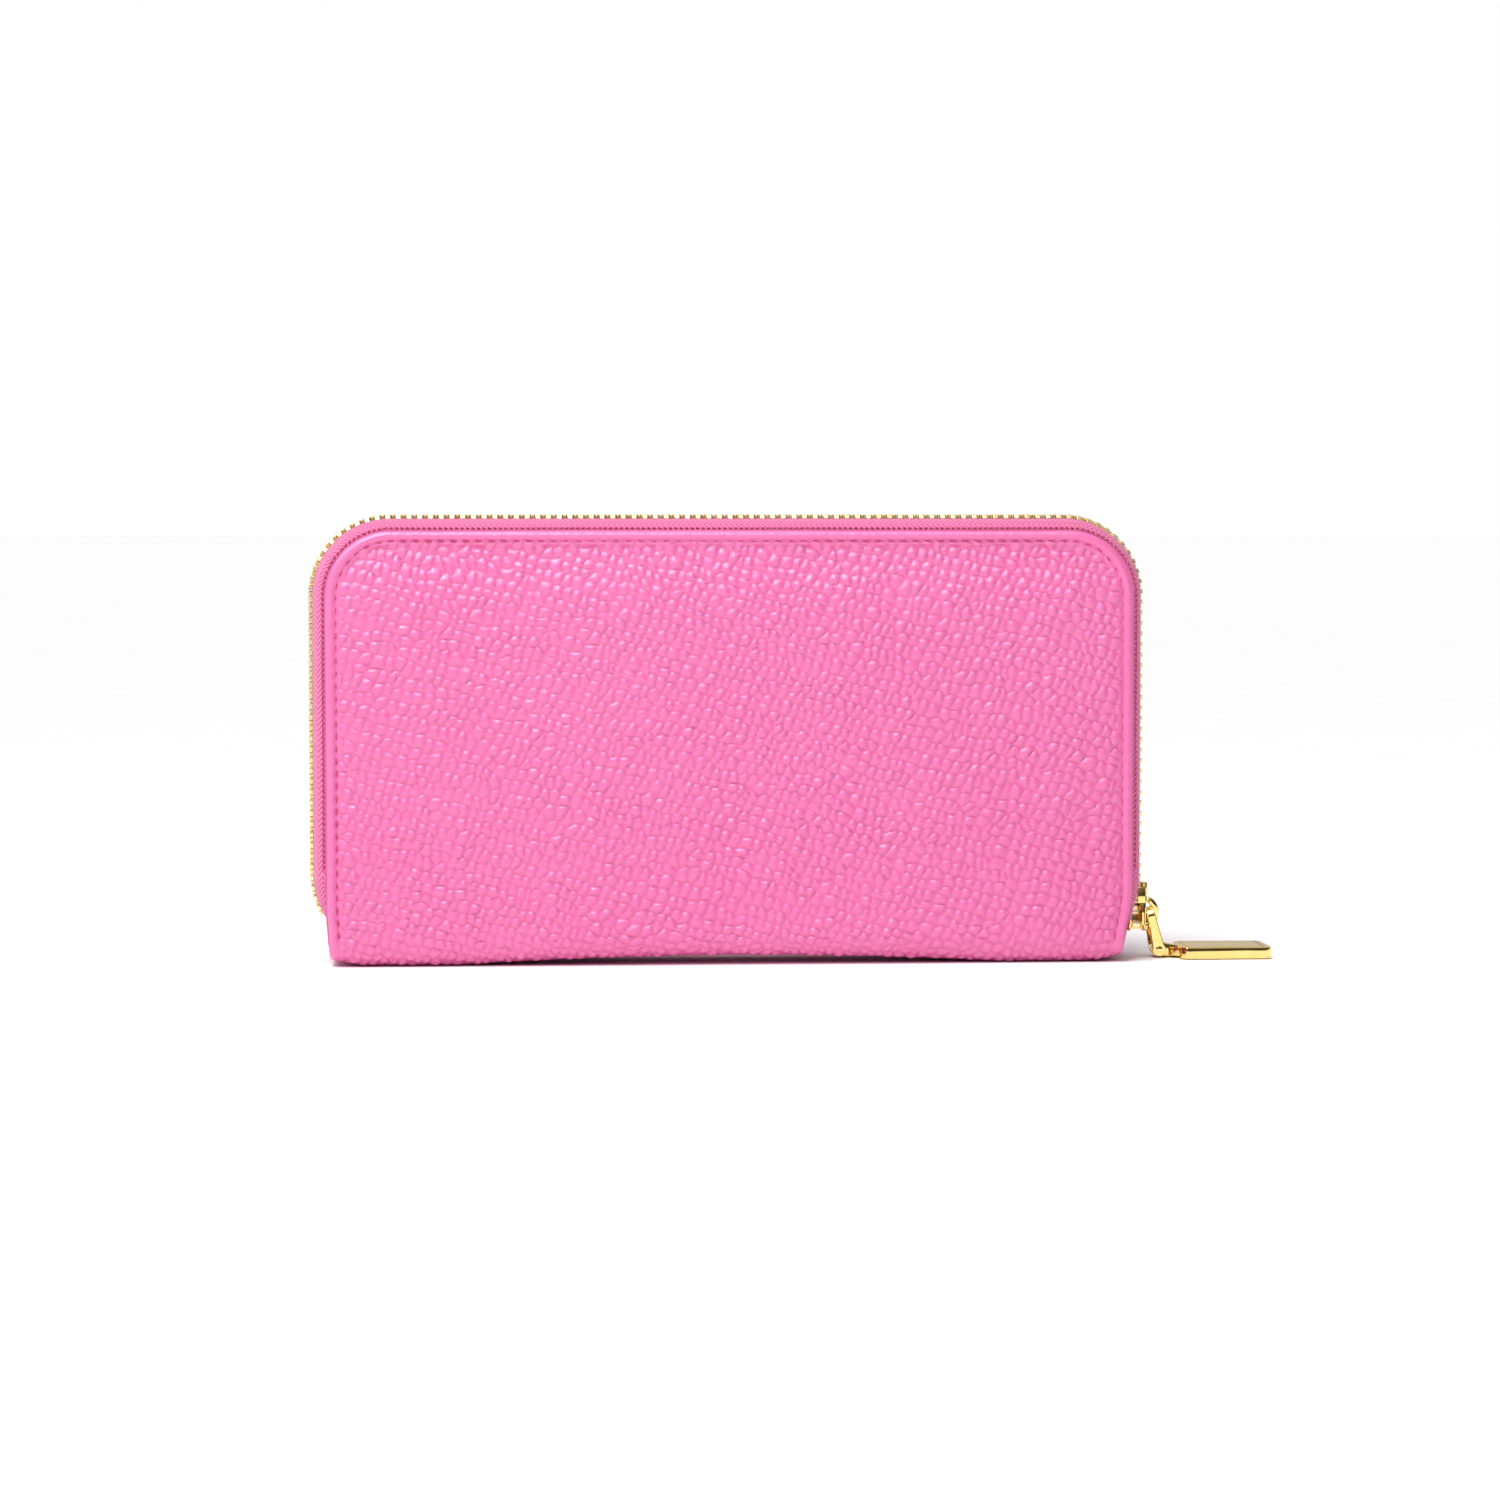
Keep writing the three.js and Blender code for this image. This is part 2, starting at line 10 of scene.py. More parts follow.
import bmesh
import bpy
import numpy as np
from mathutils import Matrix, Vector


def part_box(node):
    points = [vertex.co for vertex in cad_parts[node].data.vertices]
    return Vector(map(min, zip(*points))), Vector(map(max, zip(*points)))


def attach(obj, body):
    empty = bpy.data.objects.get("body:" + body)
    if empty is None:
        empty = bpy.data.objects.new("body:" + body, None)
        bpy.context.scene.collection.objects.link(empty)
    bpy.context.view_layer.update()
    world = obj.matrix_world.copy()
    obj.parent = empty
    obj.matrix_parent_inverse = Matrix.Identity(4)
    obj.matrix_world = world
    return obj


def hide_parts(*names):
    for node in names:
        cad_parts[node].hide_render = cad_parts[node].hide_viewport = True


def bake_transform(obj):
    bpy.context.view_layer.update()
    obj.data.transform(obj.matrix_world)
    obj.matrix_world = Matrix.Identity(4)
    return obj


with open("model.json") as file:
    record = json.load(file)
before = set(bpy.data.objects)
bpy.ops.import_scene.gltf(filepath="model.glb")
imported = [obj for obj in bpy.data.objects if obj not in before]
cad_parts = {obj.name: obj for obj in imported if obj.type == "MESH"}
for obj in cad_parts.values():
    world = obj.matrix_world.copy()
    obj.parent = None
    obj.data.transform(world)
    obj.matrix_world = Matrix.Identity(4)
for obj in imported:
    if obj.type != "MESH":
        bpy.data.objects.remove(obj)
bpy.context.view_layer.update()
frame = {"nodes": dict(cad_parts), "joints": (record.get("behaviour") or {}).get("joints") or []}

MM = 0.001
RANDOM = np.random.default_rng(7)


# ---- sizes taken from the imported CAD, in millimetres ----
def cad_box(node):
    low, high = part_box(node)
    return np.array(low) / MM, np.array(high) / MM


def joint_position(name):
    found = next(j for j in frame["joints"] if j["name"] == name)
    return np.array(found["pos_m"]) / MM


leather_low, leather_high = cad_box("back_leather")
COVER_W = leather_high[0]
COVER_TOP = leather_high[2]
COVER_R = 15.5
DEPTH = leather_high[1]
LEATHER_T = DEPTH - leather_low[1]
SPINE_R = 6.0
FOOT_Y = DEPTH - SPINE_R  # the flat underside ends here on each side
teeth_high = cad_box("back_zip_teeth")[1]
CHAIN_W = teeth_high[0]
CHAIN_TOP = teeth_high[2]
CHAIN_R = 19.0
CHAIN_T = 2.2
CHAIN_EDGE = teeth_high[1]
CHAIN_START = 9.4
TUCK_Z = 21.0
TUCK_R = 20.0
LINING_Y = cad_box("back_lining")[0][1]
LINING_W = 93.2
LINING_TOP = 99.2
LINING_R = 12.5
slider_low, slider_high = cad_box("slider_body")
hook_low, hook_high = cad_box("slider_hook")
LINK_AT = joint_position("link_swing")
PIN_AT = joint_position("tag_swing")
COIN_PULL_AT = joint_position("coin_pull_swing")
GRID = 0.42
LEFT_INSET = 0.8  # how far inside the cover's box the skin's edge lies
RIGHT_INSET = 0.3
TOOTH_PITCH = 2.5
COIL_PITCH = 1.3
STITCH_IN = 2.55  # stitch line's distance from the cover's edge
# Each kind of stitch: pitch, length and radius of a stitch, and for some its slant.
RIM_STITCH = (2.9, 1.75, 0.19)
TAPE_STITCH = (1.27, 0.9, 0.2)
SLOT_STITCH = (2.2, 1.7, 0.16, 0.02)
COIN_STITCH = (2.4, 1.85, 0.17, 0.02)


# ---- mesh helpers ----
def make_mesh(name, verts_mm, faces, smooth=True):
    """An object from points in millimetres and faces given as arrays of equal-length rows."""
    verts = np.asarray(verts_mm, float) * MM
    groups = [np.asarray(f, np.int64) for f in (faces if isinstance(faces, list) else [faces])]
    groups = [g for g in groups if len(g)]
    mesh = bpy.data.meshes.new(name)
    mesh.vertices.add(len(verts))
    mesh.vertices.foreach_set("co", verts.astype(np.float32).ravel())
    loops = np.concatenate([g.ravel() for g in groups])
    sizes = np.concatenate([np.full(len(g), g.shape[1]) for g in groups])
    starts = np.concatenate([[0], np.cumsum(sizes)[:-1]])
    mesh.loops.add(len(loops))
    mesh.loops.foreach_set("vertex_index", loops.astype(np.int32))
    mesh.polygons.add(len(sizes))
    mesh.polygons.foreach_set("loop_start", starts.astype(np.int32))
    mesh.polygons.foreach_set("use_smooth", np.full(len(sizes), smooth))
    mesh.update(calc_edges=True)
    mesh.validate()
    made = bpy.data.objects.new(name, mesh)
    bpy.context.scene.collection.objects.link(made)
    return made


def add_float(obj, name, values):
    attribute = obj.data.attributes.new(name, "FLOAT", "POINT")
    attribute.data.foreach_set("value", np.asarray(values, np.float32))


def add_uv(obj, uv_per_vertex):
    layer = obj.data.uv_layers.new(name="UVMap")
    loops = np.zeros(len(obj.data.loops), np.int32)
    obj.data.loops.foreach_get("vertex_index", loops)
    layer.data.foreach_set("uv", np.asarray(uv_per_vertex, np.float32)[loops].ravel())


def grid_quads(rows, columns, offset=0, closed_rows=False, closed_columns=False):
    """Quads of a grid whose point (r, c) has index offset + r * columns + c."""
    r = np.arange(rows if closed_rows else rows - 1)
    c = np.arange(columns if closed_columns else columns - 1)
    r0, c0 = np.meshgrid(r, c, indexing="ij")
    r1, c1 = (r0 + 1) % rows, (c0 + 1) % columns
    index = lambda a, b: offset + a * columns + b
    return np.stack([index(r0, c0), index(r0, c1), index(r1, c1), index(r1, c0)], -1).reshape(-1, 4)


def finish_piece(obj, material, body, *cad_nodes, slot=None):
    obj.data.materials.append(material)
    if body:
        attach(obj, body)
    if cad_nodes:
        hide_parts(*cad_nodes)
    return obj


def join_parts(parts):
    """Stacks (points, faces) pairs into one pair. All faces have the same number of corners."""
    points, faces, offset = [], [], 0
    for p, f in parts:
        points.append(p)
        faces.append(f + offset)
        offset += len(p)
    return np.concatenate(points), np.concatenate(faces)


def thick_sheet(points, normals, thickness):
    """Closed slab from a grid of points (rows, columns, 3), with the other side set back."""
    rows, columns, _ = points.shape
    back = points - normals * thickness
    ring = np.stack([points, back], 0)
    verts = ring.reshape(-1, 3)
    n = rows * columns
    front = grid_quads(rows, columns)[:, ::-1]
    rear = grid_quads(rows, columns, n)
    index = np.arange(n).reshape(rows, columns)
    loop = np.concatenate([index[0, :-1], index[:-1, -1], index[-1, :0:-1], index[:0:-1, 0]])
    following = np.roll(loop, -1)
    rim = np.stack([loop, following, following + n, loop + n], -1)
    return verts, np.concatenate([front, rear, rim])


def slab(name, points, facing, thickness):
    """A thick sheet, its points on the side that faces +Y or, if facing is -1, -Y."""
    normals = np.broadcast_to(np.array([0.0, facing, 0.0]), points.shape)
    verts, faces = thick_sheet(points, normals, thickness)
    return make_mesh(name, verts, faces if facing > 0 else faces[:, ::-1])


def sheet_normals(points):
    du = np.gradient(points, axis=1)
    dv = np.gradient(points, axis=0)
    n = np.cross(du, dv)
    return n / np.maximum(np.linalg.norm(n, axis=-1, keepdims=True), 1e-9)


def tube_round(path, radius, sides):
    """A tube round a polyline."""
    path = np.asarray(path, float)
    tangent = np.gradient(path, axis=0)
    tangent /= np.linalg.norm(tangent, axis=1, keepdims=True)
    side = np.zeros_like(path)
    current = np.cross(tangent[0], [0.13, 0.91, 0.39])
    for i, t in enumerate(tangent):
        current = current - t * (current @ t)
        current /= np.linalg.norm(current)
        side[i] = current
    up = np.cross(tangent, side)
    a = np.linspace(0, 2 * np.pi, sides, endpoint=False)
    ring = (
        path[:, None]
        + radius * np.cos(a)[None, :, None] * side[:, None]
        + radius * np.sin(a)[None, :, None] * up[:, None]
    )
    return ring.reshape(-1, 3), grid_quads(len(path), sides, closed_columns=True)


def bend_between_covers(obj):
    """Bakes the piece's placement into its mesh; the piece does not bend."""
    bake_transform(obj)


def bend_with_spine(obj):
    bend_between_covers(obj)


def smoothstep(low, high, value):
    t = np.clip((value - low) / (high - low), 0, 1)
    return t * t * (3 - 2 * t)


# ---- surface patterns used to shape the leather ----
def hashed(i, j, seed):
    return np.modf(np.abs(np.sin(i * 127.1 + j * 311.7 + seed * 74.7) * 43758.5453))[0]


def soft_noise(u, v, size, seed):
    """Smooth noise from -1 to 1 with features of about this size."""
    gu, gv = u / size, v / size
    iu, iv = np.floor(gu), np.floor(gv)
    fu, fv = gu - iu, gv - iv
    fu, fv = fu * fu * (3 - 2 * fu), fv * fv * (3 - 2 * fv)
    corner = lambda a, b: hashed(iu + a, iv + b, seed)
    low = corner(0, 0) * (1 - fu) + corner(1, 0) * fu
    high = corner(0, 1) * (1 - fu) + corner(1, 1) * fu
    return 2 * (low * (1 - fv) + high * fv) - 1


def pebbles(u, v, seed=3):
    """Domed grains 2 to 3 mm across in slanting rows: their height, 0 to 1, and the creases."""
    wu = u + 0.75 * soft_noise(u, v, 5.1, seed) + 0.22 * soft_noise(u, v, 1.6, seed + 5)
    wv = v + 0.75 * soft_noise(u, v, 5.7, seed + 1) + 0.22 * soft_noise(u, v, 1.8, seed + 6)
    wu = wu + 2.2 * soft_noise(u, v, 33, seed + 9)
    wv = wv + 2.2 * soft_noise(u, v, 37, seed + 10)
    gu = (wu * 0.9 + wv * 0.43) / 2.3
    gv = (wv * 0.95 - wu * 0.31) / 2.8
    iu, iv = np.floor(gu), np.floor(gv)
    first = np.full(u.shape, 9.0)
    second = np.full(u.shape, 9.0)
    height = np.zeros(u.shape)
    for a in (-1, 0, 1):
        for b in (-1, 0, 1):
            cu, cv = iu + a, iv + b
            pu = cu + 0.23 + 0.54 * hashed(cu, cv, seed)
            pv = cv + 0.23 + 0.54 * hashed(cu, cv, seed + 11)
            d = np.hypot(gu - pu, gv - pv)
            nearer = d < first
            second = np.where(nearer, first, np.minimum(second, d))
            height = np.where(nearer, hashed(cu, cv, seed + 23), height)
            first = np.where(nearer, d, first)
    gap = second - first
    dome = 0.66 * (1 - (first / second) ** 2) + 0.34 * (1 - np.exp(-gap / 0.4))
    return dome * (0.66 + 0.34 * height), np.exp(-((gap / 0.17) ** 2))


# ---- outlines ----
def skin_x(x, z):
    """Where a point of an evenly shaped skin really is: the sides draw in near the foot."""
    left = COVER_W - LEFT_INSET - 0.7 * smoothstep(15, 1, z)
    right = COVER_W - RIGHT_INSET - 2.0 * smoothstep(17, 2, z)
    return x * np.where(x < 0, left, right) / COVER_W


def foot_lift(x, z):
    """The underside is arched in the middle and turned up at its two ends."""
    arch = 1.9 * np.clip(1 - (x / 64) ** 2, 0, 1) * smoothstep(9, 0, z)
    toes = 1.3 * np.clip((np.abs(x) - 83) / 9, 0, 1) ** 2 * smoothstep(6, 0, z)
    return arch + toes


def arch_distance(x, z, half_width, top, radius):
    """Distance inwards from an arched panel's edge."""
    ax = np.abs(x)
    in_corner = (ax > half_width - radius) & (z > top - radius)
    corner = radius - np.hypot(ax - (half_width - radius), z - (top - radius))
    return np.where(in_corner, corner, np.minimum(half_width - ax, top - z))


def arch_path(half_width, top, radius, bottom, step):
    """Points and outward normals in X and Z, from the lower right round to the lower left."""
    quarter = radius * math.pi / 2
    side = top - radius - bottom
    runs = [side, quarter, 2 * (half_width - radius), quarter, side]
    t = np.arange(0, sum(runs), step)
    ends = np.cumsum(runs)
    x, z, nx, nz = (np.zeros(len(t)) for _ in range(4))
    a = (t - ends[0]) / radius
    b = (t - ends[2]) / radius + math.pi / 2
    parts = [
        (t < ends[0], half_width, bottom + t, 1, 0),
        ((t >= ends[0]) & (t < ends[1]), half_width - radius + radius * np.cos(a),
         top - radius + radius * np.sin(a), np.cos(a), np.sin(a)),
        ((t >= ends[1]) & (t < ends[2]), half_width - radius - (t - ends[1]), top, 0, 1),
        ((t >= ends[2]) & (t < ends[3]), radius - half_width + radius * np.cos(b),
         top - radius + radius * np.sin(b), np.cos(b), np.sin(b)),
        (t >= ends[3], -half_width, top - radius - (t - ends[3]), -1, 0),
    ]
    for where, px, pz, qx, qz in parts:
        for target, value in ((x, px), (z, pz), (nx, qx), (nz, qz)):
            target[where] = np.broadcast_to(value, t.shape)[where]
    return t, np.stack([x, z], -1), np.stack([nx, nz], -1)


def chain_path(step):
    """The zip's run: up the right side, over the top and down the left, where its end turns in."""
    t, at, out = arch_path(CHAIN_W, CHAIN_TOP, CHAIN_R, CHAIN_START, step)
    start = t[-1] - (TUCK_Z - CHAIN_START)
    turned = t > start
    a = (t[turned] - start) / TUCK_R
    at[turned] = np.stack(
        [TUCK_R - CHAIN_W - TUCK_R * np.cos(a), TUCK_Z - TUCK_R * np.sin(a)], -1
    )
    out[turned] = np.stack([-np.cos(a), -np.sin(a)], -1)
    return t, at, out


# ---- materials ----
class Nodes:
    """A material with short calls for its nodes."""

    def __init__(self, name):
        self.material = bpy.data.materials.new(name)
        self.material.use_nodes = True
        self.tree = self.material.node_tree
        self.shader = self.tree.nodes["Principled BSDF"]

    def add(self, kind, values=None, **settings):
        node = self.tree.nodes.new(kind)
        for key, value in settings.items():
            setattr(node, key, value)
        for key, value in (values or {}).items():
            if isinstance(value, bpy.types.NodeSocket):
                self.tree.links.new(value, node.inputs[key])
            else:
                node.inputs[key].default_value = value
        return node

    def math(self, operation, a, b=0.0):
        return self.add("ShaderNodeMath", {0: a, 1: b}, operation=operation).outputs[0]

    def ramp(self, value, low, high, to_low=0.0, to_high=1.0):
        values = {
            "Value": value, "From Min": low, "From Max": high, "To Min": to_low, "To Max": to_high
        }
        return self.add("ShaderNodeMapRange", values).outputs[0]

    def mix(self, share, a, b):
        node = self.add("ShaderNodeMix", data_type="RGBA")
        for socket, value in ((node.inputs[0], share), (node.inputs[6], a), (node.inputs[7], b)):
            if isinstance(value, bpy.types.NodeSocket):
                self.tree.links.new(value, socket)
            else:
                socket.default_value = value
        return node.outputs[2]

    def place(self):
        return self.add("ShaderNodeTexCoord").outputs["Object"]

    def noise(self, size_mm, detail=3.0, vector=None):
        values = {"Vector": vector or self.place(), "Scale": 1 / (size_mm * MM), "Detail": detail}
        return self.add("ShaderNodeTexNoise", values).outputs[0]

    def cell_edges(self, size_mm):
        """Distance to the nearest border between cells of about this size."""
        values = {"Vector": self.place(), "Scale": 1 / (size_mm * MM)}
        made = self.add("ShaderNodeTexVoronoi", values, feature="DISTANCE_TO_EDGE")
        return made.outputs["Distance"]

    def ribs(self, scale, **values):
        """Diagonal bands."""
        values = {"Vector": self.place(), "Scale": scale, **values}
        settings = {"wave_type": "BANDS", "bands_direction": "DIAGONAL"}
        return self.add("ShaderNodeTexWave", values, **settings).outputs["Fac"]

    def bump(self, height, strength, distance_mm, below=None):
        values = {"Height": height, "Strength": strength, "Distance": distance_mm * MM}
        if below is not None:
            values["Normal"] = below
        return self.add("ShaderNodeBump", values).outputs[0]

    def set(self, **inputs):
        for key, value in inputs.items():
            socket = self.shader.inputs[key.replace("_", " ")]
            if isinstance(value, bpy.types.NodeSocket):
                self.tree.links.new(value, socket)
            else:
                socket.default_value = value
        return self.material


PINK = (0.8, 0.148, 0.394, 1)
# Painted shade: the darker pink that fills the creases between grains.
PINK_CREASE_SHADE = (0.77, 0.122, 0.35, 1)
PINK_SHINE = (0.82, 0.174, 0.43, 1)


def pebbled_leather():
    """Outer skin: grains come from the mesh, and fine wrinkles and pores are added here. The mesh's
    grain attribute also darkens the colour in the creases between grains: painted shade.
    """
    n = Nodes("pebbled_leather")
    grain = n.add("ShaderNodeAttribute", attribute_name="grain").outputs["Fac"]
    patch = n.noise(22)
    wrinkle = n.ramp(n.cell_edges(1.15), 0.0, 0.16)
    pores = n.noise(0.35, 4.0)
    # Painted shade: darker pink in the creases between grains, where the grain attribute is low.
    colour = n.mix(n.ramp(grain, 0.0, 0.9), PINK_CREASE_SHADE, PINK)
    colour = n.mix(n.ramp(patch, 0.35, 0.7, 0.0, 0.4), colour, PINK_SHINE)
    uneven = n.math("ADD", n.noise(5), n.math("MULTIPLY", pores, 0.5))
    rough = n.ramp(uneven, 0.4, 1.1, 0.3, 0.42)
    fine = n.bump(pores, 0.2, 0.06)
    normal = n.bump(wrinkle, 0.22, 0.07, fine)
    return n.set(
        Base_Color=colour, Roughness=rough, Normal=normal, Specular_IOR_Level=0.75,
        Coat_Weight=0.3, Coat_Roughness=0.2,
    )


def smooth_leather():
    """Thin leather of the card slots and the coin pocket: finer grain than the outer skin."""
    n = Nodes("smooth_leather")
    crease = n.ramp(n.cell_edges(0.9), 0.0, 0.14)
    pores = n.noise(0.3, 4.0)
    # Painted shade: the colour darkens in the fine creases.
    colour = n.mix(crease, (0.76, 0.105, 0.3, 1), PINK)
    colour = n.mix(n.ramp(n.noise(14), 0.4, 0.7, 0.0, 0.3), colour, PINK_SHINE)
    normal = n.bump(crease, 0.3, 0.08, n.bump(pores, 0.3, 0.05))
    rough = n.ramp(n.noise(4), 0.3, 0.7, 0.4, 0.55)
    return n.set(Base_Color=colour, Roughness=rough, Normal=normal)


def woven(name, colour, dark, pitch_mm, band_mm):
    """Herringbone weave laid out in the mesh's UV map, which is in millimetres."""
    n = Nodes(name)
    uv = n.add("ShaderNodeTexCoord").outputs["UV"]
    split = n.add("ShaderNodeSeparateXYZ", {0: uv})
    along, across = split.outputs[0], split.outputs[1]
    band = n.math("FLOOR", n.math("DIVIDE", across, band_mm))
    odd = n.math("MODULO", n.math("ABSOLUTE", band), 2.0)
    sign = n.math("SUBTRACT", n.math("MULTIPLY", odd, 2.0), 1.0)
    slant = n.math("ADD", along, n.math("MULTIPLY", across, sign))
    ribs = n.math("PINGPONG", n.math("DIVIDE", slant, pitch_mm), 1.0)
    edge = n.math("PINGPONG", n.math("DIVIDE", across, band_mm), 0.5)
    weave = n.math("MULTIPLY", ribs, n.ramp(edge, 0.0, 0.12, 0.5, 1.0))
    fuzz = n.noise(0.25, 3.0)
    shade = n.math("ADD", n.math("MULTIPLY", weave, 0.85), n.math("MULTIPLY", fuzz, 0.25))
    # Painted shade: the colour darkens in the rib hollows and along the band seams; the fuzz adds
    # random tone.
    base = n.mix(n.ramp(shade, 0.1, 0.9), dark, colour)
    normal = n.bump(weave, 0.9, 0.25, n.bump(fuzz, 0.4, 0.06))
    rough = n.ramp(fuzz, 0.3, 0.7, 0.65, 0.9)
    return n.set(Base_Color=base, Roughness=rough, Normal=normal, Sheen_Weight=0.25)


def twill_lining():
    """Lining cloth with a fine diagonal rib."""
    n = Nodes("twill_lining")
    rib = n.ribs(0.63 / (0.75 * MM), Distortion=0.2, Detail=1.0)
    fuzz = n.noise(0.3, 4.0)
    # Painted shade: the colour darkens in the hollows between the ribs.
    base = n.mix(n.ramp(rib, 0.2, 0.9), (0.62, 0.07, 0.24, 1), (0.78, 0.12, 0.34, 1))
    base = n.mix(n.ramp(n.noise(18), 0.4, 0.7, 0.0, 0.25), base, (0.85, 0.2, 0.42, 1))
    normal = n.bump(rib, 0.4, 0.1, n.bump(fuzz, 0.4, 0.05))
    rough = n.ramp(fuzz, 0.3, 0.7, 0.6, 0.85)
    return n.set(Base_Color=base, Roughness=rough, Normal=normal, Sheen_Weight=0.2)


def thread(name, light, dark):
    """Twisted thread, slightly more orange than the leather."""
    n = Nodes(name)
    twist = n.ribs(1 / (0.45 * MM) / 2, Distortion=1.2)
    fuzz = n.noise(0.2)
    # Painted shade: the colour darkens in the twist's grooves.
    base = n.mix(n.ramp(twist, 0.1, 0.8), dark, light)
    normal = n.bump(twist, 0.5, 0.06, n.bump(fuzz, 0.3, 0.03))
    rough = n.ramp(fuzz, 0.3, 0.7, 0.45, 0.65)
    return n.set(Base_Color=base, Roughness=rough, Normal=normal)


def gold_metal(name, light, deep, rough, wear):
    """Polished gold plating with fine scratches, faint smears and slightly dulled patches."""
    n = Nodes(name)
    stretched = n.add("ShaderNodeMapping", {"Vector": n.place(), "Scale": (1.0, 9.0, 9.0)})
    lines = n.noise(1.6, 3.0, stretched.outputs[0])
    dull = n.noise(4.5, 2.0)
    base = n.mix(n.ramp(dull, 0.35, 0.7), deep, light)
    roughness = n.ramp(n.math("ADD", lines, dull), 0.7, 1.3, rough, rough + wear)
    return n.set(
        Base_Color=base, Metallic=1.0, Roughness=roughness, Normal=n.bump(lines, 0.04, 0.012),
        Specular_Tint=(1.0, 0.9, 0.72, 1),
    )


def coil_nylon():
    n = Nodes("coil_nylon")
    fuzz = n.noise(0.5)
    base = n.mix(n.ramp(fuzz, 0.3, 0.7), (0.62, 0.05, 0.2, 1), (0.82, 0.13, 0.36, 1))
    rough = n.ramp(fuzz, 0.3, 0.7, 0.28, 0.42)
    return n.set(Base_Color=base, Roughness=rough, Normal=n.bump(fuzz, 0.2, 0.03))


def pressed_board():
    n = Nodes("pressed_board")
    fibre = n.noise(0.6, 5.0)
    base = n.mix(n.ramp(fibre, 0.3, 0.7), (0.33, 0.22, 0.13, 1), (0.52, 0.38, 0.25, 1))
    rough = n.ramp(fibre, 0.3, 0.7, 0.8, 0.95)
    return n.set(Base_Color=base, Roughness=rough, Normal=n.bump(fibre, 0.4, 0.08))


def hole_shade_material():
    # Painted shade: a near-black surface that stands for the shade inside the lug's hole.
    n = Nodes("painted_hole_shade")
    base = n.mix(n.noise(0.3), (0.02, 0.012, 0.006, 1), (0.06, 0.035, 0.015, 1))
    return n.set(Base_Color=base, Roughness=n.ramp(n.noise(0.2), 0.3, 0.7, 0.4, 0.6), Metallic=0.6)


def floor_surface():
    n = Nodes("floor")
    white = n.mix(n.ramp(n.noise(40), 0.3, 0.7), (0.95, 0.95, 0.95, 1), (0.965, 0.965, 0.965, 1))
    return n.set(Base_Color=white, Roughness=0.9, Specular_IOR_Level=0.0)


LEATHER = pebbled_leather()
SLOT_LEATHER = smooth_leather()
# The tape's second colour is painted shade for its rib hollows and band seams.
TAPE = woven("zip_tape_weave", (0.93, 0.225, 0.48, 1), (0.56, 0.05, 0.19, 1), 0.62, 1.5)
LINING = twill_lining()
# Each thread's second colour is painted shade for its twist grooves.
THREAD = thread("sewing_thread", (0.74, 0.10, 0.27, 1), (0.45, 0.035, 0.13, 1))
TAPE_THREAD = thread("tape_thread", (0.66, 0.07, 0.2, 1), (0.34, 0.02, 0.08, 1))
GOLD = gold_metal("gold_metal", (0.97, 0.75, 0.3, 1), (0.93, 0.68, 0.23, 1), 0.04, 0.07)
TEETH_GOLD = gold_metal("teeth_gold", (1.0, 0.87, 0.56, 1), (0.93, 0.74, 0.38, 1), 0.22, 0.12)
NYLON = coil_nylon()
BOARD = pressed_board()
# Painted shade for the lug's hole.
HOLE_SHADE = hole_shade_material()


# ---- outer leather: one skin over the front cover, under the spine and up the back cover ----
def skin_rows():
    """Rows down the front, round the spine and up the back: place, outward normal and width."""
    arch, centre = COVER_W - COVER_R, COVER_TOP - COVER_R
    corner = [
        (-DEPTH, centre + COVER_R * math.cos(a), -1, 0, arch + COVER_R * math.sin(a))
        for a in np.arange(0, COVER_R * math.pi / 2, GRID) / COVER_R
    ]
    straight = [(-DEPTH, z, -1, 0, COVER_W) for z in np.arange(centre, SPINE_R, -GRID)]
    bend = []
    for a in np.arange(0, SPINE_R * math.pi / 2, GRID) / SPINE_R:
        cos, sin = math.cos(a), math.sin(a)
        bend.append((-FOOT_Y - SPINE_R * cos, SPINE_R - SPINE_R * sin, -cos, -sin, COVER_W))
    flat = [(y, 0, 0, -1, COVER_W) for y in np.arange(-FOOT_Y, 0, GRID)]
    half = np.array(corner + straight + bend + flat)
    other = half[::-1].copy()
    other[:, 0] *= -1
    other[:, 2] *= -1
    return np.concatenate([half, other])


def rim_profile(d):
    """Height of the skin over its base surface at a distance from the edge."""
    edge = np.clip(d, 0, 1.1)
    rolled = np.sqrt(np.clip(1 - (1 - edge / 1.1) ** 2, 0, 1)) - 1
    puff = 0.34 * np.exp(-(((d - 1.35) / 0.75) ** 2))
    groove = 0.55 * np.exp(-(((d - STITCH_IN) / 0.36) ** 2))
    padding = 0.4 * smoothstep(STITCH_IN, STITCH_IN + 3.0, d) + 0.75 * smoothstep(2.5, 22, d)
    return rolled * 1.2 + puff - groove + padding - 0.5


